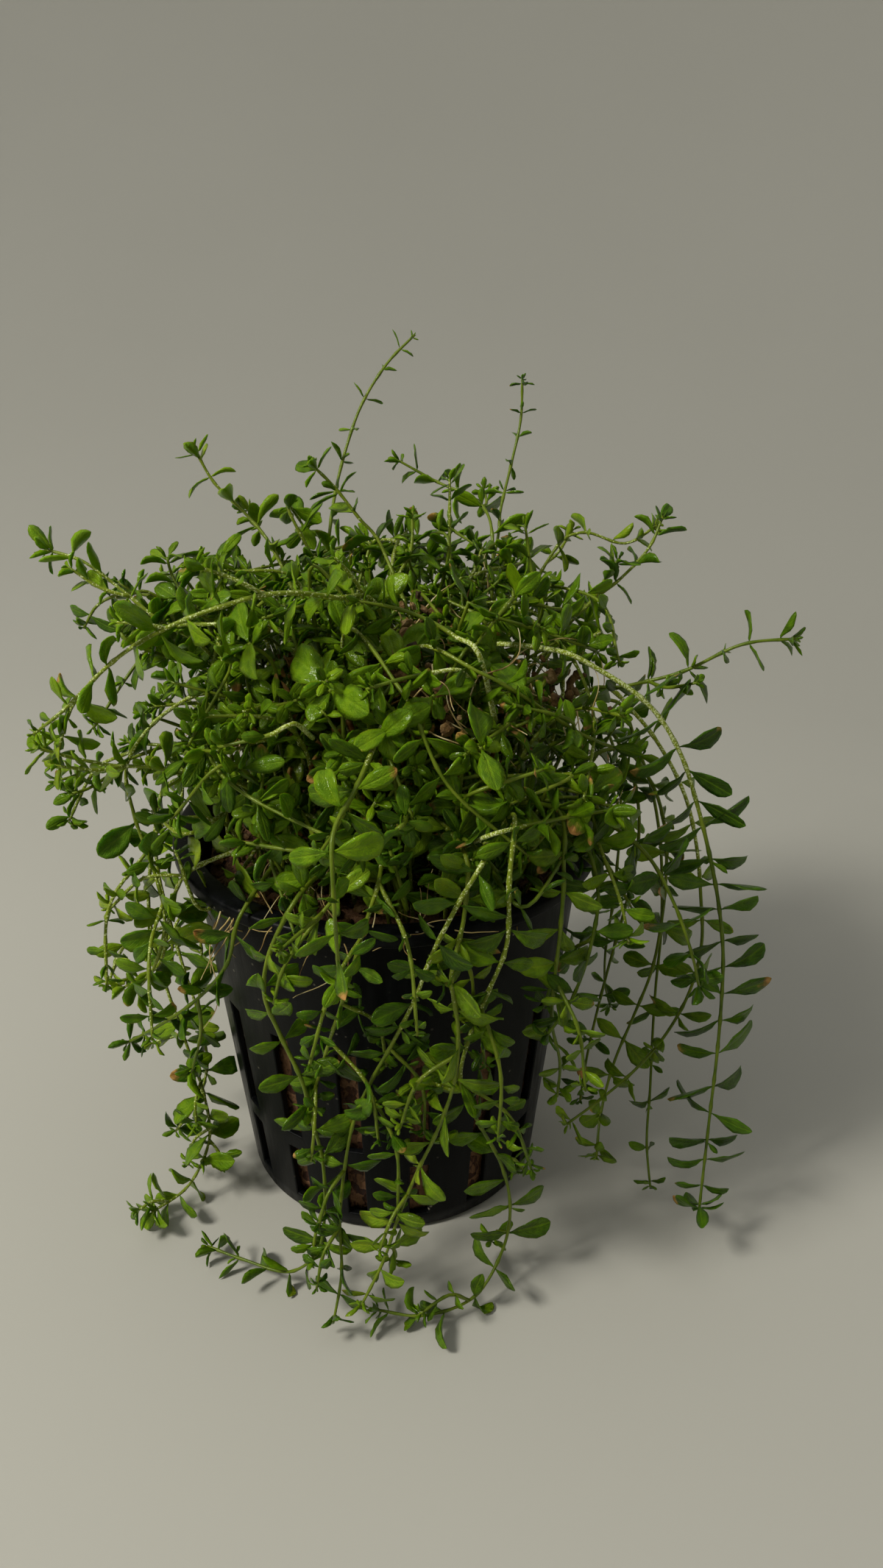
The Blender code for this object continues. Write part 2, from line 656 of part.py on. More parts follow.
def resting_surface():
    """The flat surface under the pot, raised by the gap that leaves keep to it."""
    reach = 90.0
    corners = [Vector((x, y, GAP)) for x, y in
               ((-reach, -reach), (reach, -reach), (reach, reach), (-reach, reach))]
    return BVHTree.FromPolygons(corners, [(0, 1, 2, 3)])


def build():
    remove_everything()
    parts = new_collection("pearlweed")
    cutters = new_collection("cutters")
    plastic = plain_material("black_pot_plastic", (0.012, 0.012, 0.013), 0.38)
    fibre = plain_material("brown_fibre", (0.085, 0.034, 0.016), 0.95)
    greens = [
        plain_material("leaf_green", (0.105, 0.215, 0.028), 0.45),
        plain_material("leaf_deep_green", (0.062, 0.150, 0.022), 0.45),
        plain_material("leaf_pale_green", (0.185, 0.290, 0.050), 0.45),
    ]
    still = [
        search_tree(build_pot(parts, cutters, plastic)),
        search_tree(build_medium(parts, fibre)),
        resting_surface(),
    ]
    mound = build_mound(parts, greens[1])
    dome = search_tree(mound)
    lines = stem_lines(dome, still + [dome])
    raise_leaf_tips(mound, lines)
    build_shoots(parts, greens, lines, still + [search_tree(mound)])


build()
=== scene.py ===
import math
from functools import partial

import bmesh
import bpy
import numpy as np
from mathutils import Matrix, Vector, noise
from mathutils.bvhtree import BVHTree


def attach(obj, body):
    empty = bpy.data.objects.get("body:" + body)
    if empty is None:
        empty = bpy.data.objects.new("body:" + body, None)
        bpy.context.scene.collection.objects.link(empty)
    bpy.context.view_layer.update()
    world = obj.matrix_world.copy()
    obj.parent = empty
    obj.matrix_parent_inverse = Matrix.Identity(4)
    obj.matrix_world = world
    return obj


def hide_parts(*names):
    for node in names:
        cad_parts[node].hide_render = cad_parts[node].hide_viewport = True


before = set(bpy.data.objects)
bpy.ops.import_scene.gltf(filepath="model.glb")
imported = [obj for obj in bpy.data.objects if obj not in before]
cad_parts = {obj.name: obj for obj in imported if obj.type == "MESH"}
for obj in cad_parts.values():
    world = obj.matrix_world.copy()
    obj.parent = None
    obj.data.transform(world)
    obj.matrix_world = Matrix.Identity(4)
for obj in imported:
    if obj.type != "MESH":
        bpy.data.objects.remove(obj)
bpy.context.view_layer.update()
MM = 0.001

# The camera: held a hand's breadth off in front of the pot and above it, with the wide
# lens of a pocket camera, so that the dome looks large over the narrow base.
scene = bpy.context.scene


def add_object(name, data):
    made = bpy.data.objects.new(name, data)
    scene.collection.objects.link(made)
    return made


camera_data = bpy.data.cameras.new("camera")
camera_data.lens = 27.03
camera_data.clip_start = 0.005
camera = add_object("camera", camera_data)
camera.location = (0.007, -0.136, 0.122)
camera.rotation_euler = (math.radians(64.2), 0, 0)
scene.camera = camera


# The pot: one thin injection moulding in black polypropylene, tapered so that pots stack,
# with a turned-out lip and two rows of sixteen upright slots that let water reach the roots.
POT_HEIGHT = 51
WALL_TOP_RADIUS = 25.4
BASE_RADIUS = 20.4
WALL = 0.9
EDGE_ROUNDING = 0.22
SLOTS = 16
SLOT_WIDTH = 2.5
SLOT_ROWS = ((2.6, 11.8), (14.4, 31))
WALL_ROWS = (0.6, 2.6, 5.7, 8.8, 11.8, 14.4, 18.5, 22.7, 26.9, 31, 35.5, 40, 44.5, 49.6)
BASE_ROWS = ((7, 0), (14, 0), (BASE_RADIUS - 1.1, 0), (BASE_RADIUS - 0.55, 0.08))
WEB_STEPS = 5
LIP = ((24.5, 49), (25.3, 48.6), (25.8, 48.9), (26.1, 49.2), (27.1, 49.2), (27.4, 49.35),
       (27.5, 49.7), (27.5, 50.5), (27.38, 50.85), (27.1, 51), (25.1, 51), (24.72, 50.88),
       (24.5, 50.5))
LIP_STEPS = 128
POT_BLACK = "#08090a"
POT_SCUFF = "#151719"
POT_DUST = "#8d8778"


def linear(code):
    """An sRGB hex colour as the linear one that shaders work in."""
    parts = [int(code[k:k + 2], 16) / 255 for k in (1, 3, 5)]
    return [c / 12.92 if c <= 0.04045 else ((c + 0.055) / 1.055) ** 2.4 for c in parts] + [1]


def feed(node, inputs):
    """Sets a node's inputs, by place in a row or by key. Each is a plain value, a colour in
    hex, an output to link, or a node, which stands for its first output or mixed colour."""
    for key, value in inputs.items() if isinstance(inputs, dict) else enumerate(inputs):
        if isinstance(value, bpy.types.Node):
            value = value.outputs[2 if value.bl_idname == "ShaderNodeMix" else 0]
        if isinstance(value, bpy.types.NodeSocket):
            node.id_data.links.new(value, node.inputs[key])
        else:
            node.inputs[key].default_value = linear(value) if isinstance(value, str) else value


def add_node(tree, kind, inputs=(), grain=None, stops=(), **settings):
    """A shader node with its settings, inputs and colour stops. A pattern with grains of a
    size in millimetres lies on the object. A row for MapRange is a value, its old limits and
    the new ones; Mix has its share at 0 and its colours at 6 and 7."""
    made = tree.nodes.new("ShaderNode" + kind)
    for key, value in settings.items():
        setattr(made, key, value)
    if grain:
        place = tree.nodes["Texture Coordinate"].outputs["Object"]
        feed(made, {"Vector": place, "Scale": 1 / (grain * MM)})
    feed(made, inputs)
    for k, (place, colour) in enumerate(stops):
        ramp = made.color_ramp.elements
        stop = ramp[k] if k < 2 else ramp.new(place)
        stop.position = place
        stop.color = linear(colour)
    return made


def new_material(name, **values):
    """A material with its shader's plain values, the shader, what adds a node beside it, and
    where a point lies on the object."""
    material = bpy.data.materials.new(name)
    material.use_nodes = True
    shader = material.node_tree.nodes["Principled BSDF"]
    feed(shader, {key.replace("_", " "): value for key, value in values.items()})
    add = partial(add_node, material.node_tree)
    return material, shader, add, add("TexCoord").outputs["Object"]


def add_mesh(name, points, faces, materials, smooth=True):
    """A mesh object from points in millimetres."""
    mesh = bpy.data.meshes.new(name)
    mesh.from_pydata((np.asarray(points) * MM).tolist(), [], faces)
    if smooth:
        mesh.shade_smooth()
    for material in materials:
        mesh.materials.append(material)
    return add_object(name, mesh)


def turned(profile, steps):
    """The rings of points that (radius, height) corners make round the upright axis."""
    turns = [math.tau * step / steps for step in range(steps)]
    return [(r * math.cos(a), r * math.sin(a), z) for r, z in profile for a in turns]


def ring_faces(rings, across, closed=False):
    """The faces between rings of points; closed ones join the last ring to the first."""
    pairs = [(k * across, (k + 1) % rings * across) for k in range(rings if closed else rings - 1)]
    around = [(k, (k + 1) % across) for k in range(across)]
    return [(low + k, low + n, high + n, high + k) for low, high in pairs for k, n in around]


def wall_radius(height):
    return BASE_RADIUS + (WALL_TOP_RADIUS - BASE_RADIUS) * height / POT_HEIGHT


def pot_sheet():
    """The outside of base and wall as one sheet, open where the slots are."""
    pitch = math.tau / SLOTS
    across = SLOTS * (WEB_STEPS + 1)
    rows = BASE_ROWS + tuple((wall_radius(height), height) for height in WALL_ROWS)
    points = []
    for radius, height in rows:
        half = math.asin(SLOT_WIDTH / 2 / max(radius, wall_radius(WALL_ROWS[0])))
        for slot in range(SLOTS):
            middle = pitch * (slot + 0.5)
            web = [half + (pitch - 2 * half) * k / WEB_STEPS for k in range(WEB_STEPS)]
            points += [(radius * math.cos(middle + a), radius * math.sin(middle + a), height)
                       for a in [-half] + web]
    faces = [tuple(reversed(range(across)))]
    for k, face in enumerate(ring_faces(len(rows), across)):
        row = k // across
        middle = (rows[row][1] + rows[row + 1][1]) / 2
        in_slot = k % (WEB_STEPS + 1) == 0
        if not (in_slot and any(bottom < middle < top for bottom, top in SLOT_ROWS)):
            faces.append(face)
    return points, faces


def black_polypropylene():
    """Moulded black polypropylene: soft broad gloss, a fine pebble from the mould, rubbed
    streaks up the wall, and dried dust and water spots that dull it here and there."""
    material, shader, add, place = new_material("black_polypropylene", IOR=1.49,
                                                Specular_IOR_Level=0.1)
    upright = add("Mapping", {"Vector": place, "Scale": (1, 1, 0.12)})
    streaks = add("TexNoise", {"Vector": upright, "Detail": 5, "Roughness": 0.62}, 0.9)
    patches = add("TexNoise", {"Detail": 3}, 7)
    pebble = add("TexNoise", grain=0.28)
    dust = add("TexVoronoi", grain=1.9)
    specks = add("MapRange", (dust, 0.05, 0.13, 1, 0))
    sparse = add("MapRange", (patches, 0.5, 0.66))
    spots = add("Math", (specks, sparse), operation="MULTIPLY")
    rubbed = add("MapRange", (streaks, 0.48, 0.82))
    base = add("Mix", {0: rubbed, 6: POT_BLACK, 7: POT_SCUFF}, data_type="RGBA")
    colour = add("Mix", {0: spots, 6: base, 7: POT_DUST}, data_type="RGBA")
    gloss = add("MapRange", (streaks, 0.3, 0.75, 0.27, 0.5))
    height = add("Math", (pebble, streaks), operation="ADD")
    bump = add("Bump", {"Height": height, "Strength": 0.22, "Distance": 0.06 * MM})
    feed(shader, {"Base Color": colour, "Roughness": gloss, "Normal": bump})
    return material


pot_plastic = black_polypropylene()
pot = add_mesh("pot_wall", *pot_sheet(), [pot_plastic])
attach(pot, "root")
thickness = pot.modifiers.new("Wall thickness", "SOLIDIFY")
thickness.thickness = WALL * MM
thickness.offset = -1
rounding = pot.modifiers.new("Moulded edges", "BEVEL")
rounding.width = EDGE_ROUNDING * MM
rounding.segments = 2
rounding.limit_method = "ANGLE"
rounding.angle_limit = math.radians(50)
rounding.harden_normals = True
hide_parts("pot")

lip = add_mesh("pot_lip", turned(LIP, LIP_STEPS), ring_faces(len(LIP), LIP_STEPS, closed=True),
               [pot_plastic])
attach(lip, "root")
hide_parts("pot")


# The growing medium: a pressed plug of coir fibre and bark crumbs, dark with water. It
# fills the pot to five millimetres under the lip and shows reddish brown in the slots.
MEDIUM_TOP = 45.6
MEDIUM_CROWN = 1.6
MEDIUM_BOTTOM = 1.55
MEDIUM_GAP = 0.45
MEDIUM_STEPS = 120
SIDE_RINGS = 40
TOP_RINGS = 23
LUMP_SIZE = 2.1
BARK = ("#0e0705", "#27140c", "#492b1b", "#7c5a3e")


def medium_height(x, y):
    """Height of the medium's crumbly top over a point of the pot's base."""
    radius = math.hypot(x, y)
    crown = MEDIUM_CROWN * (1 - (radius / WALL_TOP_RADIUS) ** 2)
    return MEDIUM_TOP + crown + 0.5 * math.sin(x * 0.55 + 1) * math.cos(y * 0.62)


def medium_plug():
    """The plug turned as rings, its side pressed flat by the pot and its top left rough."""
    under = [(radius, MEDIUM_BOTTOM) for radius in (0.02, 9, 18)]
    side = [(wall_radius(height) - WALL - MEDIUM_GAP, height)
            for height in np.linspace(MEDIUM_BOTTOM + 0.3, MEDIUM_TOP - 0.6, SIDE_RINGS)]
    top = [(radius, MEDIUM_TOP) for radius in np.linspace(23.22, 0.02, TOP_RINGS)]
    profile = under + side + top
    points = []
    for k, (x, y, z) in enumerate(turned(profile, MEDIUM_STEPS)):
        ring = k // MEDIUM_STEPS
        rough = noise.fractal(Vector((x, y, z)) / LUMP_SIZE, 0.8, 2.1, 4)
        if ring >= len(under + side):
            z = medium_height(x, y) + rough * 0.9
        elif ring >= len(under):
            press = 1 - max(0, 0.2 + rough * 0.55) / profile[ring][0]
            x, y = x * press, y * press
        points.append((x, y, z))
    return points, ring_faces(len(profile), MEDIUM_STEPS)


def wet_coir():
    """Coir fibre and composted bark: crumbs of mixed browns with pale fibres across them,
    dull where dry and with a wet gleam on the crumbs."""
    material, shader, add, place = new_material("wet_coir", IOR=1.4)
    bend = add("TexNoise", {"Detail": 4}, 2.4)
    shift = add("VectorMath", {0: bend.outputs["Color"], "Scale": 2.2 * MM}, operation="SCALE")
    warped = add("VectorMath", (place, shift), operation="ADD")
    crumbs = add("TexVoronoi", {"Vector": warped}, 1.3)
    fibre_way = add("Mapping", {"Vector": warped, "Scale": (1, 1, 0.16),
                                "Rotation": (0.6, 0.9, 0)})
    fibres = add("TexNoise", {"Vector": fibre_way, "Detail": 3}, 0.34)
    shade = add("Math", (crumbs.outputs["Color"], fibres), operation="ADD")
    ramp = add("ValToRGB", (shade,), stops=zip((0.12, 0.5, 0.85, 1), BARK))
    gloss = add("MapRange", (fibres, 0.3, 0.7, 0.55, 0.95))
    depth = add("Math", (crumbs, fibres), operation="SUBTRACT")
    bump = add("Bump", {"Height": depth, "Strength": 0.8, "Distance": 0.5 * MM}, invert=True)
    feed(shader, {"Base Color": ramp, "Roughness": gloss, "Normal": bump})
    return material


medium = add_mesh("growing_medium_plug", *medium_plug(), [wet_coir()])
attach(medium, "root")
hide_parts("growing_medium")


# The stems and leaves: living plant tissue. Stems are under a millimetre thick, juicy and
# beaded, so they glitter, and whitish painted glints on some beads add to it. Leaves stand
# in opposite pairs on short stalks, folded at the rib, bent back at the tip, and glossy with
# water; each shoot ends in a star of small ones.
LINE_STEP = 0.8
STEM_SIDES = 8
BLADE = ((0, 0.10, 0.22, 0.40, 0.60, 0.80, 0.925, 0.975, 1), (-1, -0.55, 0, 0.55, 1))
LEAFLET = ((0, 0.18, 0.45, 0.75, 0.95, 1), (-1, 0, 1))
LEAFLET_LENGTH = 3.1
BLADE_THICKNESS = 0.24
BEND_STEPS = 40
PAIR_SPACING = 4.4
YOUNG_LENGTH = 14
KNOT_SWELLING = 0.08
FACING_LIGHT = 0.7
# Lit and shaded copies of one leaf material: the shaded copy's darker greens are painted shade,
# the sunlit copy's paler greens painted light.
LEAVES = {"leaf_green": ("living_leaf", "#2d4508", "#507109", "#708e10"),
          "leaf_deep_green": ("living_leaf_shaded", "#223a09", "#3d5f0b", "#5d7b13"),
          "leaf_pale_green": ("living_leaf_sunlit", "#42590e", "#628012", "#81961e")}
STEM_GREEN = ("#44590d", "#859326")
# Whitish colour painted on some stem beads: painted glints.
STEM_PAINTED_GLINT = "#ccd59a"
WITHERED = ("#743f1e", "#b3854c")
HEART = np.array((0, 0, 62))
up = np.array((0, 0, 1))


def unit(vectors):
    return vectors / np.maximum(np.linalg.norm(vectors, axis=-1, keepdims=True), 1e-9)


def rounded(points, step=LINE_STEP):
    """Dense points of a rounded line through the given ones."""
    points = np.array(points, float)
    ends = np.vstack((2 * points[0] - points[1], points, 2 * points[-1] - points[-2]))
    line = []
    for a, b, c, d in zip(ends, ends[1:], ends[2:], ends[3:]):
        count = max(2, int(np.linalg.norm(c - b) / step))
        t = (np.arange(count) / count)[:, None]
        line.append(0.5 * (2 * b + (c - a) * t + (2 * a - 5 * b + 4 * c - d) * t * t
                           + (3 * b - a - 3 * c + d) * t ** 3))
    return np.vstack(line + [points[-1:]])


def carried_frames(line):
    """The way of a line at each point, and two cross directions carried along it untwisted."""
    ways = unit(np.gradient(line, axis=0))
    side = np.cross(ways[0], (0.31, -0.95, 0.05))
    sides = []
    for way in ways:
        side = unit(side - way * side.dot(way))
        sides.append(side)
    return ways, np.array(sides), np.cross(ways, sides)


def tube(line, radii, sides=STEM_SIDES):
    """A closed round tube along a line: its points and its faces."""
    _, side, cross = carried_frames(line)
    turns = (np.arange(sides) * math.tau / sides)[:, None]
    ring = np.cos(turns) * side[:, None] + np.sin(turns) * cross[:, None]
    points = (line[:, None] + ring * np.asarray(radii)[:, None, None]).reshape(-1, 3)
    ends = [tuple(reversed(range(sides))), tuple(range(len(points) - sides, len(points)))]
    return points, ring_faces(len(line), sides) + ends


def blade_faces(along, across):
    """The faces of one blade: an upper and an under skin that share their rim."""
    upper = np.arange(along * across).reshape(along, across)
    under = upper.copy()
    inner = (along - 2, across - 2)
    under[1:-1, 1:-1] = along * across + np.arange(inner[0] * inner[1]).reshape(inner)
    above = np.stack((upper[:-1, :-1], upper[1:, :-1], upper[1:, 1:], upper[:-1, 1:]), -1)
    below = np.stack((under[:-1, :-1], under[:-1, 1:], under[1:, 1:], under[1:, :-1]), -1)
    return np.stack((above, below), 2).reshape(-1, 4)


def blades(leaves, stations, columns):
    """Many blades at once. Each leaf is (foot, way, face, length, width, bend, cup, twist,
    tone, wither)."""
    foot, way, face = (np.array([leaf[k] for leaf in leaves])[:, None] for k in range(3))
    length, width, bend, cup, twist, tone, wither = (
        np.array([leaf[k] for leaf in leaves])[:, None] for k in range(3, 10))
    side = np.cross(face, way)
    t = np.array(stations)[None]
    v = np.array(columns)[None, None]
    turn = bend * np.linspace(0, 1, BEND_STEPS + 1) ** 1.3
    start = np.zeros_like(bend)
    ahead = np.concatenate((start, np.cumsum(np.cos(turn[:, 1:]), 1) / BEND_STEPS), 1)
    down = np.concatenate((start, np.cumsum(np.sin(turn[:, 1:]), 1) / BEND_STEPS), 1)
    spots = np.round(t[0] * BEND_STEPS).astype(int)
    x, z, angle = (run[:, spots, None] for run in (ahead, -down, turn))
    swell = np.clip((t - 0.07) / 0.93, 0, 1)
    half = width * (0.08 + 0.92 * np.sin(math.pi * swell ** 1.2) ** (0.8 - 0.24 * t)) \
        * (1 - 0.92 * t ** 40)
    rib = foot + length[..., None] * (x * way + z * face)
    raised = np.sin(angle) * way + np.cos(angle) * face
    spin = (twist * t)[..., None]
    sideways = np.cos(spin) * side + np.sin(spin) * raised
    raised = np.cos(spin) * raised - np.sin(spin) * side
    wave = 0.12 * np.sin(t * 9 + tone * 40)
    curl = (cup[..., None] * v ** 2 + 0.10 * np.abs(v) + wave[..., None] * v) * half[..., None]
    sheet = rib[:, :, None] + (half[..., None] * v)[..., None] * sideways[:, :, None] \
        + curl[..., None] * raised[:, :, None]
    fade = (np.clip(t * 12, 0, 1) * np.clip((1 - t) * 8, 0, 1))[..., None]
    thick = BLADE_THICKNESS / 2 * (1 - v ** 2) * fade
    groove = 0.45 * BLADE_THICKNESS * (v == 0) * fade
    upper = sheet + (thick - groove)[..., None] * raised[:, :, None]
    under = sheet - (thick + groove * 0.6)[..., None] * raised[:, :, None]
    count = len(leaves)
    points = np.concatenate((upper.reshape(count, -1, 3),
                             under[:, 1:-1, 1:-1].reshape(count, -1, 3)), 1)
    each = points.shape[1]
    grid = np.stack(np.meshgrid(stations, columns, indexing="ij"), -1)
    grid = np.concatenate((grid.reshape(-1, 2), grid[1:-1, 1:-1].reshape(-1, 2)))
    place = np.concatenate((np.tile(grid, (count, 1)), np.repeat(wither, each, 0)), 1)
    faces = blade_faces(len(stations), len(columns)) + (np.arange(count) * each)[:, None, None]
    return (points.reshape(-1, 3), faces.reshape(-1, 4).tolist(), place,
            np.repeat(tone[:, 0], each))


def rest_on_surfaces(points):
    """Presses what would sink into the pot's wall or under its base back onto them."""
    x, y, z = points.T
    z[:] = np.maximum(z, 0.35 + 0.12 * np.sin(x * 3))
    radius = np.hypot(x, y)
    wall = wall_radius(z) + 0.3
    sunk = (z < POT_HEIGHT - 2) & (radius < wall) & (radius > wall - 2.6)
    points[sunk, :2] *= (wall[sunk] / radius[sunk])[:, None]


def joined(parts):
    """The points and faces of many parts as one."""
    faces, start = [], 0
    for points, sides, *_ in parts:
        faces += [[k + start for k in face] for face in sides]
        start += len(points)
    return np.vstack([part[0] for part in parts]), faces


def leafy_mesh(name, shoots, leaf_skin):
    """Shoots joined in one mesh: their stems take the first material, their leaves the next."""
    parts, stem_faces = [], 0
    for line, radii, tone in (stem for stem, _ in shoots if stem):
        points, faces = tube(line, radii)
        tones = np.repeat(np.broadcast_to(tone, len(line)), STEM_SIDES)
        parts.append((points, faces, np.zeros_like(points), tones))
        stem_faces += len(faces)
    leaves = [leaf for _, on_stem in shoots for leaf in on_stem]
    large = [leaf for leaf in leaves if leaf[3] >= LEAFLET_LENGTH]
    small = [leaf for leaf in leaves if leaf[3] < LEAFLET_LENGTH]
    parts += [blades(group, *form) for group, form in ((large, BLADE), (small, LEAFLET)) if group]
    points, faces = joined(parts)
    rest_on_surfaces(points)
    made = add_mesh(name, points, faces, [stem_skin, leaf_skin])
    made.data.polygons.foreach_set("material_index",
                                   [0] * stem_faces + [1] * (len(faces) - stem_faces))
    *_, places, tones = zip(*parts)
    for key, kind, part, values in (("leaf_place", "FLOAT_VECTOR", "vector", places),
                                    ("leaf_tone", "FLOAT", "value", tones)):
        values = np.concatenate(values).ravel()
        made.data.attributes.new(key, kind, "POINT").data.foreach_set(part, values)
    return made


def leaf_pair(leaves, rng, foot, frames, turn, lift, length, broad, stem, tone, wither,
              facing=FACING_LIGHT, toward=(0, 0, 0)):
    """Two leaves on opposite sides of a stem, a little unlike each other. On a stem that
    hangs they turn on their stalks until their upper sides face up to the light."""
    way, out, cross = frames
    away = unit(np.array((*foot[:2], 0)) + 1e-6)
    lit = unit(0.5 * away + 0.9 * up + toward)
    hang = max(0, -way[2])
    pull = (0.2 + 1.5 * hang) * facing
    for half_turn in (0, math.pi):
        angle = turn + half_turn + rng.normal(0, 0.2)
        outward = math.cos(angle) * out + math.sin(angle) * cross
        rise = lift * (1 - 0.7 * hang) + rng.normal(0, 0.24 + 0.14 * hang)
        ahead = math.cos(rise) * outward + math.sin(rise) * way
        face = math.cos(rise) * way - math.sin(rise) * outward
        face = unit(face + (lit - ahead * ahead.dot(lit)) * pull)
        face = unit(face - ahead * face.dot(ahead))
        size = length * rng.uniform(0.8, 1.15)
        leaves.append((foot + outward * stem * 0.6, ahead, face,
                       size, size * broad * rng.uniform(0.85, 1.15),
                       rng.uniform(-0.2, 1.1), rng.normal(0.12, 0.2), rng.normal(0, 0.4),
                       float(np.clip(tone + rng.normal(0, 0.17), 0, 1)),
                       rng.uniform(0.12, 0.5) if rng.random() < wither else 0))


def grow_shoot(rng, line, bare, leaf, thick=0.27, thin=0.17, tone=0.5, broad=0.23,
               turn_step=1.45, spacing=PAIR_SPACING, wither=0.09, star=1, pale=0.1, level=0.35,
               spread=None, toward=(0, 0, 0)):
    """One shoot along a line in millimetres: its tapered stem and the list of its leaves.
    Where it hangs, a share of its pairs, given by level, is spread sideways like a ladder.
    The stem is paler over its older length, and there it carries more painted glints."""
    ways, sides, crosses = carried_frames(line)
    run = np.concatenate(([0], np.cumsum(np.linalg.norm(np.diff(line, axis=0), axis=1))))
    total = run[-1]
    radii = thick + (thin - thick) * (run / total) ** 1.4
    leaves = []
    at = min(bare, total * 0.8)
    turn = rng.uniform(0, math.tau)
    while at < total - 1.2:
        k = min(len(line) - 2, int(np.searchsorted(run, at)))
        here = (ways[k], sides[k], crosses[k])
        youth = float(np.clip(1 - (total - at) / YOUNG_LENGTH, 0, 1))
        radii = radii + KNOT_SWELLING * np.exp(-((run - at) / 0.5) ** 2) * (1 - 0.4 * youth)
        size = leaf * (1 - 0.34 * youth)
        if ways[k][2] < -0.45 and rng.random() < level:
            across = np.cross(up, line[k] - HEART) if spread is None else np.array(spread)
            turn = math.atan2(across.dot(crosses[k]), across.dot(sides[k])) + rng.normal(0, 0.25)
        leaf_pair(leaves, rng, line[k], here, turn, 0.25 + 0.4 * youth, size, broad, radii[k],
                  tone + 0.08 * youth, wither, toward=toward)
        if rng.random() < 0.2 and youth < 0.7:
            leaf_pair(leaves, rng, line[k] + ways[k] * 0.4, here, turn + rng.uniform(0.5, 1.1),
                      0.8, size * rng.uniform(0.35, 0.6), broad, radii[k], tone + 0.15, 0)
        turn += turn_step + rng.normal(0, 0.2)
        at += spacing * rng.uniform(0.85, 1.15) * (1 - 0.5 * youth)
    for share, lift, back in ((0.58, 0.45, 0.8), (0.44, 0.75, 0.4), (0.26, 1.1, 0.1)):
        k = max(0, len(line) - 1 - int(back / LINE_STEP))
        leaf_pair(leaves, rng, line[-1] - ways[-1] * back, (ways[-1], sides[k], crosses[k]), turn,
                  lift, leaf * share * star, broad * 0.95, thin, tone + 0.12, wither * 0.4,
                  0.3 * FACING_LIGHT)
        turn += 1.5
    return (line, radii, tone + pale * np.clip((0.62 - run / total) * 8, 0, 1)), leaves


def living_leaf(name, greens):
    """A pearlweed leaf: waxy skin over juicy green flesh. The rib and side veins show paler
    and sunk, the flesh is mottled, a film of water adds gloss, and old tips are tan."""
    material, shader, add, _ = new_material(
        name, IOR=1.42, Specular_IOR_Level=0.42, Specular_Tint=(0.62, 0.85, 0.12, 1),
        Subsurface_Weight=0.2, Subsurface_Radius=(0.35, 0.7, 0.08), Subsurface_Scale=0.9 * MM,
        Coat_Weight=0.3, Coat_Roughness=0.12, Coat_IOR=1.33)
    on_leaf = add("Attribute", attribute_name="leaf_place").outputs["Vector"]
    along, across, wither = add("SeparateXYZ", (on_leaf,)).outputs
    tone = add("Attribute", attribute_name="leaf_tone").outputs["Fac"]
    mottle = add("TexNoise", {"Detail": 4}, 1.1)
    cells = add("TexVoronoi", grain=0.16)
    film = add("TexNoise", grain=0.6)
    shade = add("MapRange", (mottle, 0.3, 0.7, -0.24, 0.24))
    age = add("Math", (tone, shade), operation="ADD")
    flesh = add("ValToRGB", (age,), stops=zip((0.05, 0.5, 0.95), greens))
    off_rib = add("Math", (across,), operation="ABSOLUTE")
    rib = add("MapRange", (off_rib, 0.03, 0.16, 1, 0))
    swept = add("Math", (off_rib, -0.42, along), operation="MULTIPLY_ADD")
    wave = add("Math", (swept, 44), operation="MULTIPLY")
    ripple = add("Math", (wave,), operation="SINE")
    vein = add("MapRange", (ripple, 0.72, 1))
    lines = add("Math", (vein, 0.45, rib), operation="MULTIPLY_ADD", use_clamp=True)
    faint = add("Math", (lines, 0.38), operation="MULTIPLY")
    veined = add("Mix", {0: faint, 6: flesh, 7: greens[2]}, data_type="RGBA")
    ragged = add("Math", (mottle, 0.55, along), operation="MULTIPLY_ADD")
    reach = add("Math", (wither, 0.9, ragged), operation="MULTIPLY_ADD")
    dead = add("MapRange", (reach, 1.42, 1.58))
    old = add("Math", (wither, 0.02), operation="GREATER_THAN")
    tan = add("Math", (dead, old), operation="MULTIPLY")
    brown = add("ValToRGB", (mottle,), stops=zip((0.35, 0.6), WITHERED))
    colour = add("Mix", {0: tan, 6: veined, 7: brown}, data_type="RGBA")
    gloss = add("MapRange", (mottle, 0.3, 0.7, 0.34, 0.5))
    dull = add("Math", (tan, 0.3, gloss), operation="MULTIPLY_ADD")
    sunk = add("Math", (lines, 1.6, cells), operation="MULTIPLY_ADD")
    bump = add("Bump", {"Height": sunk, "Strength": 0.6, "Distance": 0.07 * MM}, invert=True)
    water = add("Bump", {"Height": film, "Strength": 1, "Distance": 0.12 * MM})
    feed(shader, {"Base Color": colour, "Roughness": dull, "Normal": bump, "Coat Normal": water})
    return material


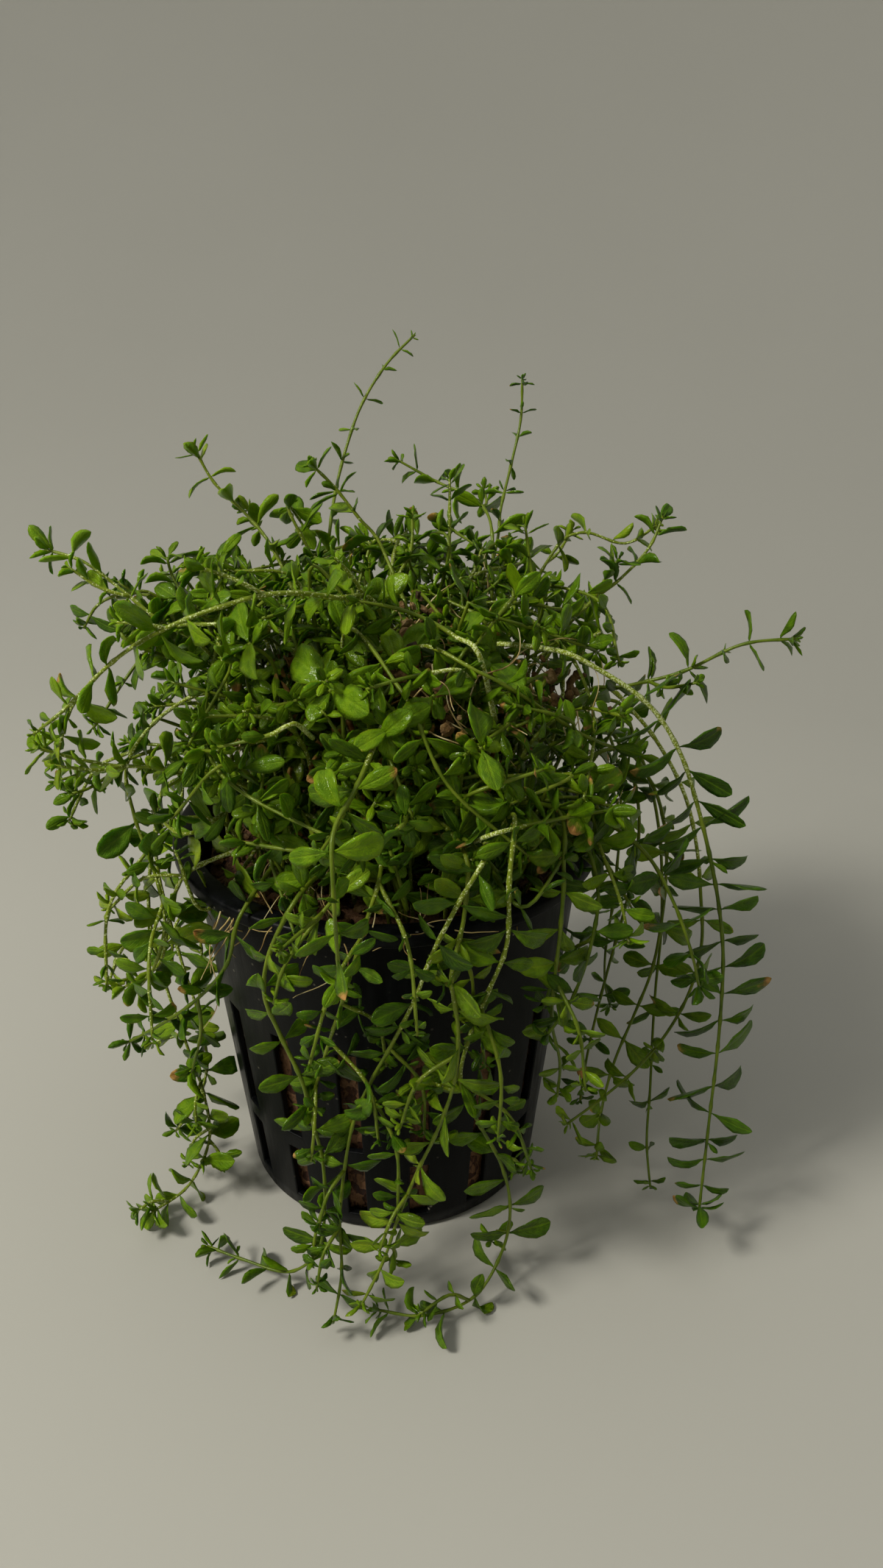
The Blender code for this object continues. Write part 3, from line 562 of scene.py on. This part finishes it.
def living_stem():
    """A pearlweed stem: watery green skin beaded with tiny bumps. Some beads are painted
    whitish as points of glint, painted highlights, most of them on the pale old lengths."""
    material, shader, add, _ = new_material(
        "living_stem", IOR=1.4, Specular_Tint=(0.8, 0.95, 0.45, 1), Subsurface_Weight=0.25,
        Subsurface_Radius=(0.8, 1, 0.3), Subsurface_Scale=0.6 * MM, Coat_Weight=0.2,
        Coat_Roughness=0.12, Coat_IOR=1.33)
    tone = add("Attribute", attribute_name="leaf_tone").outputs["Fac"]
    patches = add("TexNoise", {"Detail": 3}, 2.6)
    beads = add("TexVoronoi", grain=0.14)
    mixed = add("Math", (patches, tone), operation="ADD")
    share = add("MapRange", (mixed, 0.6, 1.5))
    skin = add("Mix", {0: share, 6: STEM_GREEN[0], 7: STEM_GREEN[1]}, data_type="RGBA")
    # Painted glints: whitish colour on a share of the beads, more where the stem is pale.
    chance = add("SeparateColor", (beads.outputs["Color"],))
    glint_likelihood = add("Math", (tone, 0.6, chance), operation="MULTIPLY_ADD")
    painted_glint_share = add("MapRange", (glint_likelihood, 1.26, 1.32))
    colour = add("Mix", {0: painted_glint_share, 6: skin, 7: STEM_PAINTED_GLINT}, data_type="RGBA")
    gloss = add("MapRange", (patches, 0.3, 0.7, 0.26, 0.42))
    bump = add("Bump", {"Height": beads, "Strength": 0.5, "Distance": 0.06 * MM}, invert=True)
    feed(shader, {"Base Color": colour, "Roughness": gloss, "Normal": bump})
    return material


stem_skin = living_stem()
leaf_skins = {slot: living_leaf(name, greens) for slot, (name, *greens) in LEAVES.items()}


# The shoots that leave the dome, each a piece of its own. Outside the dome a stem follows
# the middle of its solid; inside it, points of its own lead it up from where it roots.
SHOOT_SEED = 101
SIDEWAYS = (1, 0, 0)
# Root (x, y) and points inside the dome, in millimetres with the front facing -Y; bare
# length, leaf length, and other habits, with forks as shares of the whole length.
# The tones run paler on the shoots at the left, nearer the lamp, than on the right: painted light.
SHOOTS = {
    "tall_back_left": (((-4, 7), (-6, 10, 58), (-9, 17, 74)),
     24, 3.2, dict(broad=0.16, tone=0.45, star=0.6, forks=())),
    "tall_back_right": (((6, 9), (8, 12, 60)), 24, 3, dict(broad=0.19, tone=0.4, forks=())),
    "upper_left": (((-4, 3), (-6, 4, 62), (-9, 3, 75)), 18, 4.8, dict(tone=0.5, pale=0.3)),
    "upper_middle": (((4, 0), (6, -2, 60), (4, -2, 76)),
     18, 5, dict(tone=0.5, thick=0.33, pale=0.3)),
    "upright_middle": (((8, 1), (8, 0, 62), (8, 3, 79)), {}),
    "upright_right": (((13, 4), (17, 2, 60), (19, 3, 77)), {}),
    "back_arc": (((11, 13), (13, 14, 66)), {}),
    "right_back": (((13, 8), (16, 6, 62), (22, 6, 74)), {}),
    "right_back_upper": (((9, 17), (12, 14, 62)), {}),
    "left_far": (((-11, -1), (-14, -2, 62), (-20, -6, 76)),
     14, 5.6, dict(tone=0.65, forks=(0.5, 0.66, 0.82))),
    "left_shoulder": (((-9, 6), (-14, 6, 64)), 12, 5.4, dict(tone=0.55, forks=(0.55, 0.8))),
    "left_rosette": (((-12, 4), (-16, 2, 64)), 20, 5, dict(broad=0.21, tone=0.3, star=1.6)),
    "right_arm": (((17, 0), (18, -2, 60), (24, -4, 70)),
     22, 4.6, dict(broad=0.2, tone=0.3, turn_step=1.1)),
    "right_arch": (((4, -4), (6, 0, 66), (9, -5, 76)),
     56, 5.6, dict(tone=0.25, thick=0.34, spacing=4, star=1.4, pale=0.95, level=1,
        spread=SIDEWAYS, toward=(0, -1.4, 0), wither=0.3, forks=())),
    "right_loop": (((16, -5), (20, 2, 63), (27, 4, 68)),
     30, 4.7, dict(spacing=6.4, thick=0.3, pale=0.6, level=0.9, spread=SIDEWAYS, wither=0.3,
        forks=())),
    "right_back_hang": (((20, 4), (23, 7, 62)), 12, 4.4, dict(tone=0.3, spacing=6.6, forks=())),
    "right_thin": (((20, 8),),
     12, 4.3, dict(tone=0.3, spacing=7, level=0.8, spread=SIDEWAYS, forks=())),
    "right_inner": (((20, -1), (24, 0, 58)),
     12, 4.9, dict(tone=0.3, spacing=5.2, level=0.6, spread=SIDEWAYS, wither=0.2, forks=())),
    "front_right_short": (((15, -10), (17, -12, 57)), {}),
    "front_right_curl": (((11, -10), (13, -11, 56), (19, -16, 62)), {}),
    "front_right_drop": (((8, -10), (10, -12, 58)), {}),
    "front_long_right": (((12, -15), (13, -17, 56)),
     14, 4.8, dict(tone=0.3, pale=0.4, forks=(0.42, 0.55, 0.66, 0.78, 0.9))),
    "front_long_left": (((6, -14), (8, -16, 56)),
     14, 4.8, dict(tone=0.3, pale=0.5, forks=(0.42, 0.55, 0.66, 0.78, 0.9))),
    "front_middle": (((3, -10), (5, -13, 58)), {}),
    "front_overhang": (((0, -6), (1, -10, 63), (1, -20, 73)),
     14, 4.8, dict(broad=0.25, tone=0.4, thick=0.33, pale=0.7)),
    "front_left_long": (((-1, -12), (0, -15, 57)), {}),
    "front_left_short": (((1, -19), (0, -21, 54)), {}),
    "front_left_trail": (((-6, -15), (-6, -19, 54)), {}),
    "left_tips": (((-9, -12), (-11, -14, 54)), {}),
    "left_hang": (((-13, -11), (-14, -13, 54)),
     12, 6.2, dict(broad=0.27, tone=0.75, pale=0.5, forks=(0.5, 0.7))),
    "left_long_arch": (((-2, -1), (2, -4, 66)),
     16, 5.2, dict(broad=0.26, tone=0.7, thick=0.34, spacing=3.8, pale=0,
        forks=(0.4, 0.5, 0.6, 0.72, 0.86))),
    "left_loop": (((-10, -6), (-13, -4, 60), (-19, -7, 71), (-25, -9.5, 70)),
     12, 5, dict(broad=0.26, tone=0.6, pale=0.4, forks=(0.4, 0.55, 0.7, 0.85))),
    "left_middle": (((-6, -9), (-8, -12, 58), (-13, -16, 63), (-18, -17, 65.5)),
     12, 5.2, dict(broad=0.25, tone=0.6, forks=(0.6, 0.8))),
    "left_floor": (((-16, -6), (-20, -8, 55)),
     46, 5.4, dict(broad=0.26, tone=0.6, spacing=3, forks=(0.74, 0.81, 0.87, 0.93))),
    "left_low_hang": (((-19, -1), (-23, 0, 56)),
     12, 4.8, dict(broad=0.27, tone=0.65, spacing=6, forks=())),
    "left_low_side": (((-17, 5), (-21, 7, 56)),
     12, 4.8, dict(broad=0.26, tone=0.65, spacing=5.6, forks=(0.6,))),
    "left_side": (((-15, 0), (-18, 0, 56), (-24, -3, 63)),
     12, 5, dict(tone=0.45, forks=(0.5, 0.7, 0.85))),
    "left_back_hang": (((-14, 10), (-18, 14, 57)), 12, 4.4, dict(tone=0.5, spacing=6, forks=())),
    "left_back": (((-10, 15), (-14, 18, 60)), {}),
    "back_hang_left": (((-5, 17), (-7, 20, 57)), {}),
    "back_hang_middle": (((0, 16), (0, 20, 60)), {}),
    "back_hang_right": (((6, 17), (9, 20, 58)), {}),
    "right_back_low": (((16, 12), (20, 14, 57)), 12, 4.3, dict(tone=0.3, spacing=7, forks=())),
    "right_side": (((18, -10), (21, -12, 57)),
     12, 5, dict(broad=0.26, tone=0.3, spacing=5.2, level=0.8, spread=SIDEWAYS, wither=0.25,
        forks=())),
}


def solid_rings(node):
    """The solid's rings of four corners, from the dome's end to the tip, in millimetres."""
    shape = bmesh.new()
    shape.from_mesh(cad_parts[node].data)
    bmesh.ops.remove_doubles(shape, verts=shape.verts, dist=0.001 * MM)

    def neighbours(corners):
        return {edge.other_vert(corner) for corner in corners for edge in corner.link_edges}

    ends = [corner for corner in shape.verts if len(corner.link_edges) < 6]
    layer = {min(ends, key=lambda corner: np.linalg.norm(np.array(corner.co) / MM - HEART))}
    for _ in range(2):
        layer |= neighbours(layer).intersection(ends)
    seen, rings = set(layer), []
    while layer:
        rings.append(np.array([corner.co for corner in layer]) / MM)
        layer = neighbours(layer) - seen
        seen |= layer
    shape.free()
    return rings


def solid_middle(node):
    """The stem's line through a solid's thin rings; a leaf pair's ring is wide."""
    line, wide_before = [], False
    for ring in solid_rings(node):
        middle = ring.mean(0)
        wide = np.linalg.norm(ring - middle, axis=1).max() > 0.6
        if not wide and wide_before:
            line[-1] = (line[-1] + middle) / 2
        elif not wide:
            line.append(middle)
        wide_before = wide
    return line


def side_shoot(rng, line, foot, leaf, tone, hanging):
    """A short young shoot from the fork of a leaf pair, bending down where its parent hangs."""
    start = line[foot]
    way = unit(line[foot + 1] - line[foot - 1])
    away = unit(np.array((*start[:2], 0)))
    outward = unit(np.cross(way, rng.normal(0, 1, 3)) + away * 0.7)
    reach = rng.uniform(7, 16) if hanging and start[2] > 22 else rng.uniform(4, 8)
    droop = up * (-0.55 if hanging else 0.2)
    middle = start + unit(way * 0.7 + outward) * reach * 0.5
    end = middle + unit(way + outward * 0.5 + droop) * reach * 0.6
    end[2] = max(end[2], 2.4)
    for point in (middle, end):
        clear = wall_radius(point[2]) + 3.2
        radius = math.hypot(*point[:2])
        if point[2] < POT_HEIGHT and radius < clear:
            point[:2] *= clear / radius
    return grow_shoot(rng, rounded([start, middle, end]), 2.2, leaf * rng.uniform(0.65, 0.9),
                      thick=0.22, thin=0.16, tone=tone, spacing=3.4)


for seed, (name, (route, *sizes, habits)) in enumerate(SHOOTS.items(), SHOOT_SEED):
    node = "shoot_" + name
    rng = np.random.default_rng(seed)
    (x, y), *inside = route
    outside = solid_middle(node)
    hanging = outside[-1][2] < 45
    habit = dict(bare=13, leaf=rng.uniform(4, 5),
                 tone=(0.15 if hanging else 0.3) + 0.35 * rng.random())
    habit.update(zip(("bare", "leaf"), sizes))
    habit.update(habits)
    crowded = hanging and abs(outside[-1][0] + 4) < 17 and outside[-1][1] < 0
    forks = habit.pop("forks", (0.45, 0.57, 0.68, 0.79, 0.9) if crowded else (0.7,))
    line = rounded([(x, y, medium_height(x, y)), *inside, *outside])
    shoots = [grow_shoot(rng, line, **habit)]
    for share in forks:
        foot = int(len(line) * (share + rng.uniform(-0.04, 0.04)))
        shoots.append(side_shoot(rng, line, foot, habit["leaf"], habit["tone"], hanging))
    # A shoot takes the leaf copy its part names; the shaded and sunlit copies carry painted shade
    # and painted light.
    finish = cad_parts[node].data.materials[0].name
    piece = leafy_mesh(node + "_grown", shoots, leaf_skins[finish])
    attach(piece, "root")
    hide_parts(node)


# The dome: the crowded upper lengths of all the other shoots. Every shoot roots in the
# medium, rises and leans out, and ends in a leafy star at the surface of the dome; some
# run on over it. It is thin on top and over the lip at the left, where medium shows.
DOME_SHOOTS = 205
RUNNERS = 14
SKIRT_SHOOTS = 36
LITTER = 620
DOME_SEED = 7
TRAIL_SEED = 50
GOLDEN_TURN = 2.399963
ROOTING_RADIUS = 22
# Open places in the dome, as (x, y, z, radius).
HOLLOWS = (
    (-23, 3, 62, 11), (-26, -6, 53, 8), (-27, 3, 54, 8),
    (2, -28, 52, 6), (4.5, -18, 79, 5.6), (7.5, -19.5, 76.5, 4),
    (21, -10.5, 75.5, 4.4), (3.5, -6, 84, 3.6), (11, -6, 81, 3.4),
    (-17, -21, 54, 5.5), (5, -28.5, 53, 4.5), (-8, -27.5, 60, 3.5),
)
# Broad pairs of leaves on top: place, way of the first leaf, length, breadth, tone and the
# share that has withered.
SPRAYS = (
    ((-4.6, -21.5, 77.5), (-0.8, 0.2, 0.45), 6.8, 0.28, 0.4, 0),
    ((-21, -6, 81), (0.9, -0.2, -0.3), 6.6, 0.3, 0.6, 0.1),
    ((-24, -3, 82), (0.2, 0.3, 1), 6.4, 0.3, 0.6, 0.1),
    ((-14, -14, 80), (-0.4, 0.5, 0.5), 6.2, 0.27, 0.45, 0.1),
    ((11.1, -26, 72.9), (0.1, -0.2, 1), 4.8, 0.34, 0.5, 0),
    ((6.2, -21.4, 76.8), (0.8, 0.2, 0.6), 4.8, 0.26, 0.5, 0.6),
    ((23, -19.5, 64.5), (0.8, 0.1, 0.3), 5.4, 0.26, 0.5, 1),
    ((27.5, -18.5, 62), (1, -0.1, -0.1), 5.6, 0.25, 0.6, 1),
    ((24, -20, 58), (0.3, -0.2, 1), 5.4, 0.27, 0.4, 1),
    ((26.5, 2, 76), (1, 0.1, 0.3), 6, 0.24, 1, 0),
    ((22, 1, 75), (0.5, 0.3, 0.5), 5, 0.22, 0.8, 1),
    ((12, -14.5, 78), (0.1, -0.3, 1), 4.6, 0.31, 0.35, 0),
    ((1.7, -25.1, 74.7), (0.7, -0.1, 0.7), 5.2, 0.25, 0.5, 0.6),
)
# Pale old stems that trail over the dome: points, bare length, leaf length, thickness and
# the share of withered leaves.
TRAILS = (
    (((10.5, -16, 76), (8.8, -20.4, 79.3), (5.8, -21.1, 79.2), (2.8, -24.2, 79.7),
      (-0.6, -25.2, 79)), 9, 3.8, 0.26, 0),
    (((-6.5, -22.5, 72.5), (-7.8, -27.3, 76.2), (-9.8, -27.6, 75.2), (-12.6, -26.8, 74.1),
      (-15.8, -26.5, 73.2)), 9, 4.2, 0.26, 0),
    (((8, -20, 57), (11.6, -29.8, 64.7), (16.3, -27.3, 64.7), (21.3, -23.1, 63.6),
      (26.1, -21, 63.3)), 18, 4.8, 0.28, 0.8),
    (((13, -14, 71), (10.9, -18.4, 80.4), (8.6, -16.1, 81.4), (6, -15.2, 82.8),
      (2.5, -15, 84.2), (-2, -16, 85.4)), 21, 4.2, 0.34, 0),
)
dome_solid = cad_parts["foliage_mound"].data
dome_tree = BVHTree.FromPolygons([v.co / MM for v in dome_solid.vertices],
                                 [tuple(p.vertices) for p in dome_solid.polygons])


def dome_reach(turn, rise):
    """From the dome's heart to its surface, in a direction given by its turn and height."""
    flat = math.sqrt(max(0, 1 - rise * rise))
    ray = Vector((flat * math.cos(turn), flat * math.sin(turn), rise))
    return np.array(dome_tree.ray_cast(Vector(HEART) + ray * 80, -ray)[0]) - HEART


def in_hollow(place, margin=0):
    return any(np.linalg.norm(place - hollow[:3]) < hollow[3] + margin for hollow in HOLLOWS)


def rooting_place(x, y, spread, rng):
    """A spot on the medium near the given one."""
    root = np.array((x + rng.normal(0, spread), y + rng.normal(0, spread), 0))
    root *= min(1, ROOTING_RADIUS / np.linalg.norm(root))
    root[2] = medium_height(*root[:2])
    return root


bands = {band: [] for band in ("crown", "shoulder", "skirt", "runners", "litter")}
rng = np.random.default_rng(DOME_SEED)
lowest = math.sin(math.radians(-16))
for k in range(DOME_SHOOTS):
    rise = lowest + (1 - lowest) * (k + 0.5) / DOME_SHOOTS
    reach = dome_reach(k * GOLDEN_TURN + rng.normal(0, 0.12), rise)
    tip = HEART + reach * rng.uniform(0.72, 1.1)
    if in_hollow(tip) or (tip[0] > 16 and rng.random() < 0.4):
        continue
    root = rooting_place(tip[0] * 0.62, tip[1] * 0.62, 2, rng)
    outward = unit(unit(reach) + rng.normal(0, 0.75, 3) + up * 0.1)
    low = root + up * (0.45 * (tip[2] - root[2]) + 4) + rng.normal(0, 1.5, 3)
    line = rounded([root, low, tip - outward * 9, tip], 1.2)
    length = np.linalg.norm(np.diff(line, axis=0), axis=1).sum()
    # Toward the left, nearer the lamp, leaves grow larger and take a paler tone; the paler tone is
    # painted light.
    left = np.clip(-tip[0] / 25, 0, 1)
    tone = 0.25 + 0.3 * rng.random() + 0.2 * left
    shoot = grow_shoot(rng, line, max(6, length - 17), rng.uniform(2.9, 4.4) + left, tone=tone,
                       broad=rng.uniform(0.2, 0.26), spacing=3.6,
                       wither=0.06 if tip[0] < 8 else 0.22, pale=rng.uniform(0, 0.3))
    # Leaves along the inner length take the darkest green: painted shade for the depths of the
    # dome.
    cut = int(len(line) * max(0.3, 1 - 18 / length))
    shaded = grow_shoot(rng, line[:cut], 6, 3, tone=0.05, broad=0.27, spacing=4.6, wither=0.3)
    band = "crown" if rise > 0.62 else "shoulder" if rise > 0.16 else "skirt"
    bands[band] += [shoot, (None, shaded[1])]
for k in range(RUNNERS):
    turn = math.tau * k / RUNNERS + rng.normal(0, 0.2)
    swing = rng.choice((-1, 1)) * rng.uniform(0.5, 1.5)
    rises = np.linspace(rng.uniform(0.75, 0.95), rng.uniform(0, 0.45), 4)
    spots = [HEART + dome_reach(turn + swing * share, rise) * out + rng.normal(0, 1.4, 3)
             for share, rise, out in zip((0, 0.3, 0.65, 1), rises, (0.8, 0.97, 1, 1.08))]
    root = rooting_place(spots[0][0] * 0.5, spots[0][1] * 0.5, 2, rng)
    bands["runners"].append(grow_shoot(
        rng, rounded([root] + spots, 1), 16, rng.uniform(3.6, 4.8), thick=0.25,
        tone=rng.uniform(0.3, 0.6), broad=rng.uniform(0.21, 0.26),
        pale=rng.uniform(0, 0.8), wither=0.12))
for seed, (points, bare, leaf, thick, wither) in enumerate(TRAILS, TRAIL_SEED):
    bands["runners"].append(grow_shoot(
        np.random.default_rng(seed), rounded(points), bare, leaf, thick=thick, tone=0.35,
        spacing=3.4, pale=0.9, wither=wither))
for place, toward, leaf, broad, tone, wither in SPRAYS:
    place = np.array(place)
    way = unit(place - HEART + up * 4)
    out = unit(np.array(toward) - way * way.dot(toward))
    frames = (way, out, np.cross(way, out))
    root = rooting_place(place[0] * 0.6, place[1] * 0.6, 1, rng)
    line = rounded([root, (root + place) / 2 + up * 4, place - way * 5, place], 1)
    leaves = []
    leaf_pair(leaves, rng, place, frames, 0, 0.3, leaf, broad, 0.2, tone, wither, 1)
    leaf_pair(leaves, rng, place - way * 0.6, frames, 1.5, 0.5, leaf * 0.55, broad, 0.2, tone,
              wither * 0.5, 1)
    bands["runners"].append(((line, np.linspace(0.28, 0.22, len(line)), tone), leaves))
for k in range(LITTER):
    reach = dome_reach(rng.uniform(0, math.tau), rng.uniform(-0.2, 1))
    way, face = unit(rng.normal(0, 1, (2, 3)) + (reach * 0.02, up * 0.8))
    face = unit(face - way * face.dot(way))
    leaf = (HEART + reach * rng.uniform(0.3, 0.66), way, face, rng.uniform(1.6, 3),
            rng.uniform(0.3, 0.8), rng.uniform(-1.5, 2.5), rng.normal(0, 0.6),
            rng.normal(0, 1), rng.random(), rng.uniform(0.9, 1.1))
    bands["litter"].append((None, [leaf]))
for k in range(SKIRT_SHOOTS):
    turn = math.tau * k / SKIRT_SHOOTS + rng.normal(0, 0.06)
    out = np.array((math.cos(turn), math.sin(turn), 0))
    over = out * rng.uniform(23, 27) + up * rng.uniform(54, 59)
    tip = out * rng.uniform(27, 31) + np.cross(up, out) * rng.normal(0, 4) \
        + up * rng.uniform(51, 59)
    if in_hollow(tip, 2):
        continue
    root = rooting_place(out[0] * 17, out[1] * 17, 3, rng)
    line = rounded([root, root * 0.35 + over * 0.65 + up * 1, over, tip], 1)
    bands["skirt"].append(grow_shoot(rng, line, 6, rng.uniform(3.2, 4.3),
                                     tone=0.2 + 0.3 * rng.random(),
                                     broad=rng.uniform(0.2, 0.26), spacing=3.8))
for band, shoots in bands.items():
    if band not in ("runners", "litter"):
        shoots = [(stem, [leaf for leaf in leaves
                          if not in_hollow(leaf[0] + leaf[1] * 0.5 * leaf[3])])
                  for stem, leaves in shoots]
    # The skirt low under the dome takes the shaded leaf copy: painted shade.
    piece = leafy_mesh("foliage_" + band, shoots,
                       leaf_skins["leaf_deep_green" if band == "skirt" else "leaf_green"])
    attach(piece, "root")
    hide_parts("foliage_mound")


# Crumbs of the medium: bits of bark and coir lie loose on the plug and are caught between
# the stems, carried up as the shoots grew. They are soft, angular and a little paler dry.
CRUMB_COUNT = 400
CRUMB_SEED = 21
CRUMB_NESTS = ((4.6, -12, 75), (7.5, -13.5, 72.5), (21.3, -6.5, 71.5), (4, -2.5, 79.5),
               (12, 2, 73), (-20, 16, 58))
DRY_BARK = ("#463216", "#8c6a35", "#cfb27a")
BARK_PITS = "#6c5731"


def crumb_lumps(rng):
    """Small lumps on the plug and in the nests, each a squashed, dented ball."""
    ball = bmesh.new()
    bmesh.ops.create_icosphere(ball, subdivisions=2, radius=1)
    corners = np.array([corner.co for corner in ball.verts])
    sides = [[corner.index for corner in face.verts] for face in ball.faces]
    ball.free()
    lumps = []
    for k in range(CRUMB_COUNT):
        size = rng.uniform(0.35, 1)
        if k % 3 < 2:
            turn, out = rng.uniform(0, math.tau), 22.5 * math.sqrt(rng.random())
            middle = np.array((out * math.cos(turn), out * math.sin(turn), 0))
            middle[2] = medium_height(*middle[:2]) + size * 0.5
        else:
            nest = CRUMB_NESTS[k // 3 % len(CRUMB_NESTS)]
            middle = nest + rng.normal(0, 1, 3) * (2.3, 2.6, 1.6)
        dents = np.array([noise.noise(Vector(corner) * 1.3 + Vector((k * 3.1, 0, 0)))
                          for corner in corners])
        spin = np.linalg.qr(rng.normal(0, 1, (3, 3)))[0]
        lump = corners * (1 + 0.55 * dents)[:, None] * rng.uniform(0.4, 1.2, 3)
        lumps.append((middle + lump @ spin * size, sides))
    return lumps


def dry_bark():
    """Bark and coir crumbs: matt, tan to rust brown, each crumb its own shade, pitted."""
    material, shader, add, _ = new_material("dry_bark", IOR=1.45)
    shade = add("TexNoise", grain=2.8)
    pits = add("TexNoise", {"Detail": 4}, 0.3)
    ramp = add("ValToRGB", (shade,), stops=zip((0.34, 0.5, 0.68), DRY_BARK))
    dark = add("Mix", {0: pits, 6: ramp, 7: BARK_PITS}, data_type="RGBA", blend_type="MULTIPLY")
    gloss = add("MapRange", (pits, 0.3, 0.7, 0.6, 0.95))
    bump = add("Bump", {"Height": pits, "Strength": 0.9, "Distance": 0.2 * MM})
    feed(shader, {"Base Color": dark, "Roughness": gloss, "Normal": bump})
    return material


lumps = crumb_lumps(np.random.default_rng(CRUMB_SEED))
crumbs = add_mesh("medium_crumbs", *joined(lumps), [dry_bark()], smooth=False)
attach(crumbs, "root")


# Roots: hair-thin cream roots run over the medium, curl at the front of the lip and hang
# out of the dome on the right; they are white where new and tan where they have dried.
ROOT_STEP = 0.7
ROOT_SIDES = 5
ROOT_SEED = 33
ROOT_CREAM = ("#7c6236", "#b7a066", "#dcd2a6")


def loose_root(rng, start, way, shortest, longest, curl, fall):
    """One root: it wanders, curls and falls as it goes, and thins to its tip."""
    steps = int(rng.uniform(shortest, longest) / ROOT_STEP)
    line = [np.array(start, float)]
    way = unit(np.array(way, float))
    bend = rng.normal(0, 1, 3)
    for _ in range(steps):
        bend = bend * 0.86 + rng.normal(0, 1, 3) * 0.5
        way = unit(way + bend * curl + up * fall)
        line.append(line[-1] + way * ROOT_STEP)
    line = np.array(line)
    line[:, 2] = np.maximum(line[:, 2], 2)
    return tube(line, np.linspace(0.1, 0.04, len(line)), ROOT_SIDES)


def fine_root():
    """A living root: thin, waxy, cream white with tan stretches, faintly see-through."""
    material, shader, add, _ = new_material(
        "fine_root", IOR=1.4, Subsurface_Weight=0.3, Subsurface_Radius=(0.6, 0.5, 0.3),
        Subsurface_Scale=0.6 * MM)
    stretches = add("TexNoise", {"Detail": 3}, 4)
    hairs = add("TexNoise", grain=0.15)
    ramp = add("ValToRGB", (stretches,), stops=zip((0.36, 0.52, 0.7), ROOT_CREAM))
    gloss = add("MapRange", (stretches, 0.3, 0.7, 0.7, 0.4))
    bump = add("Bump", {"Height": hairs, "Strength": 0.4, "Distance": 0.04 * MM})
    feed(shader, {"Base Color": ramp, "Roughness": gloss, "Normal": bump})
    return material


rng = np.random.default_rng(ROOT_SEED)
strands = []
# Over the medium.
for k in range(70):
    x, y, z = rooting_place(0, 0, 12, rng)
    way = (*rng.normal(0, 1, 2), 1.1)
    strands.append(loose_root(rng, (x, y, z + 0.4), way, 8, 20, 0.16, -0.015))
# Over the front of the lip.
for k in range(22):
    turn = math.radians(rng.uniform(-125, -70))
    out = np.array((math.cos(turn), math.sin(turn), 0))
    strands.append(loose_root(rng, out * 25.5 + up * 50, out + up, 4, 9, 0.3, -0.1))
# Among the crumbs in the dome.
for nest in CRUMB_NESTS:
    for k in range(9):
        start = nest + rng.normal(0, 3, 3)
        strands.append(loose_root(rng, start, rng.normal(0, 1, 3), 5, 12, 0.2, -0.02))
# In a tuft at the left of the lip.
for k in range(7):
    start = (-16.6 + rng.normal(0, 1), -20.8 + rng.normal(0, 0.8), 50)
    strands.append(loose_root(rng, start, (-0.35, -0.45, -0.8), 8, 16, 0.3, -0.14))
# Out of the dome.
for start in ((22, -15, 72.5), (20.5, -16, 71), (6, -15, 78), (-17, -9, 68)):
    strands.append(loose_root(rng, start, (0.2, -0.3, -0.8), 9, 15, 0.16, -0.06))
roots = add_mesh("fine_roots", *joined(strands), [fine_root()])
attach(roots, "root")


# The floor: a pale matt board that curves up far off all round, under one large soft lamp
# at the upper left and a weak even light from everywhere.
BOARD_TINTS = ("#b1afa6", "#bab8af")
BEND_START = 200
BEND_RADIUS = 600
BOARD_TOP = 900
FLOOR_STEPS = 96
matt_board, shader, add, _ = new_material("matt_board", Roughness=0.75)
cloud = add("TexNoise", {"Detail": 3}, 250)
pulp = add("TexNoise", {"Detail": 3}, 0.6)
paper = add("Mix", {0: cloud, 6: BOARD_TINTS[0], 7: BOARD_TINTS[1]}, data_type="RGBA")
bump = add("Bump", {"Height": pulp, "Strength": 0.05, "Distance": 0.05 * MM})
feed(shader, {"Base Color": paper, "Normal": bump})
profile = [(BEND_START + BEND_RADIUS, BOARD_TOP)]
for a in np.linspace(1.5, 0.05, 24):
    profile.append((BEND_START + BEND_RADIUS * math.sin(a), BEND_RADIUS * (1 - math.cos(a))))
profile += [(radius, 0) for radius in (BEND_START, 140, 70, 0.5)]
points = turned(profile, FLOOR_STEPS)
middle = tuple(range(len(points) - FLOOR_STEPS, len(points)))
floor = add_mesh("floor", points, ring_faces(len(profile), FLOOR_STEPS) + [middle], [matt_board])

lamp_data = bpy.data.lights.new("key_lamp", "AREA")
lamp_data.size = 0.13
lamp_data.energy = 2.9
lamp_data.color = linear("#fffcf2")[:3]
lamp = add_object("key_lamp", lamp_data)
lamp.location = (-0.36, -0.22, 0.48)
lamp_aim = Vector((0, 0, 0.05))
lamp.rotation_euler = (lamp_aim - lamp.location).to_track_quat("-Z", "Y").to_euler()
world = bpy.data.worlds.new("even_light")
world.use_nodes = True
feed(world.node_tree.nodes["Background"], {"Color": "#eaecec", "Strength": 0.6})
scene.world = world
scene.view_settings.view_transform = "Standard"
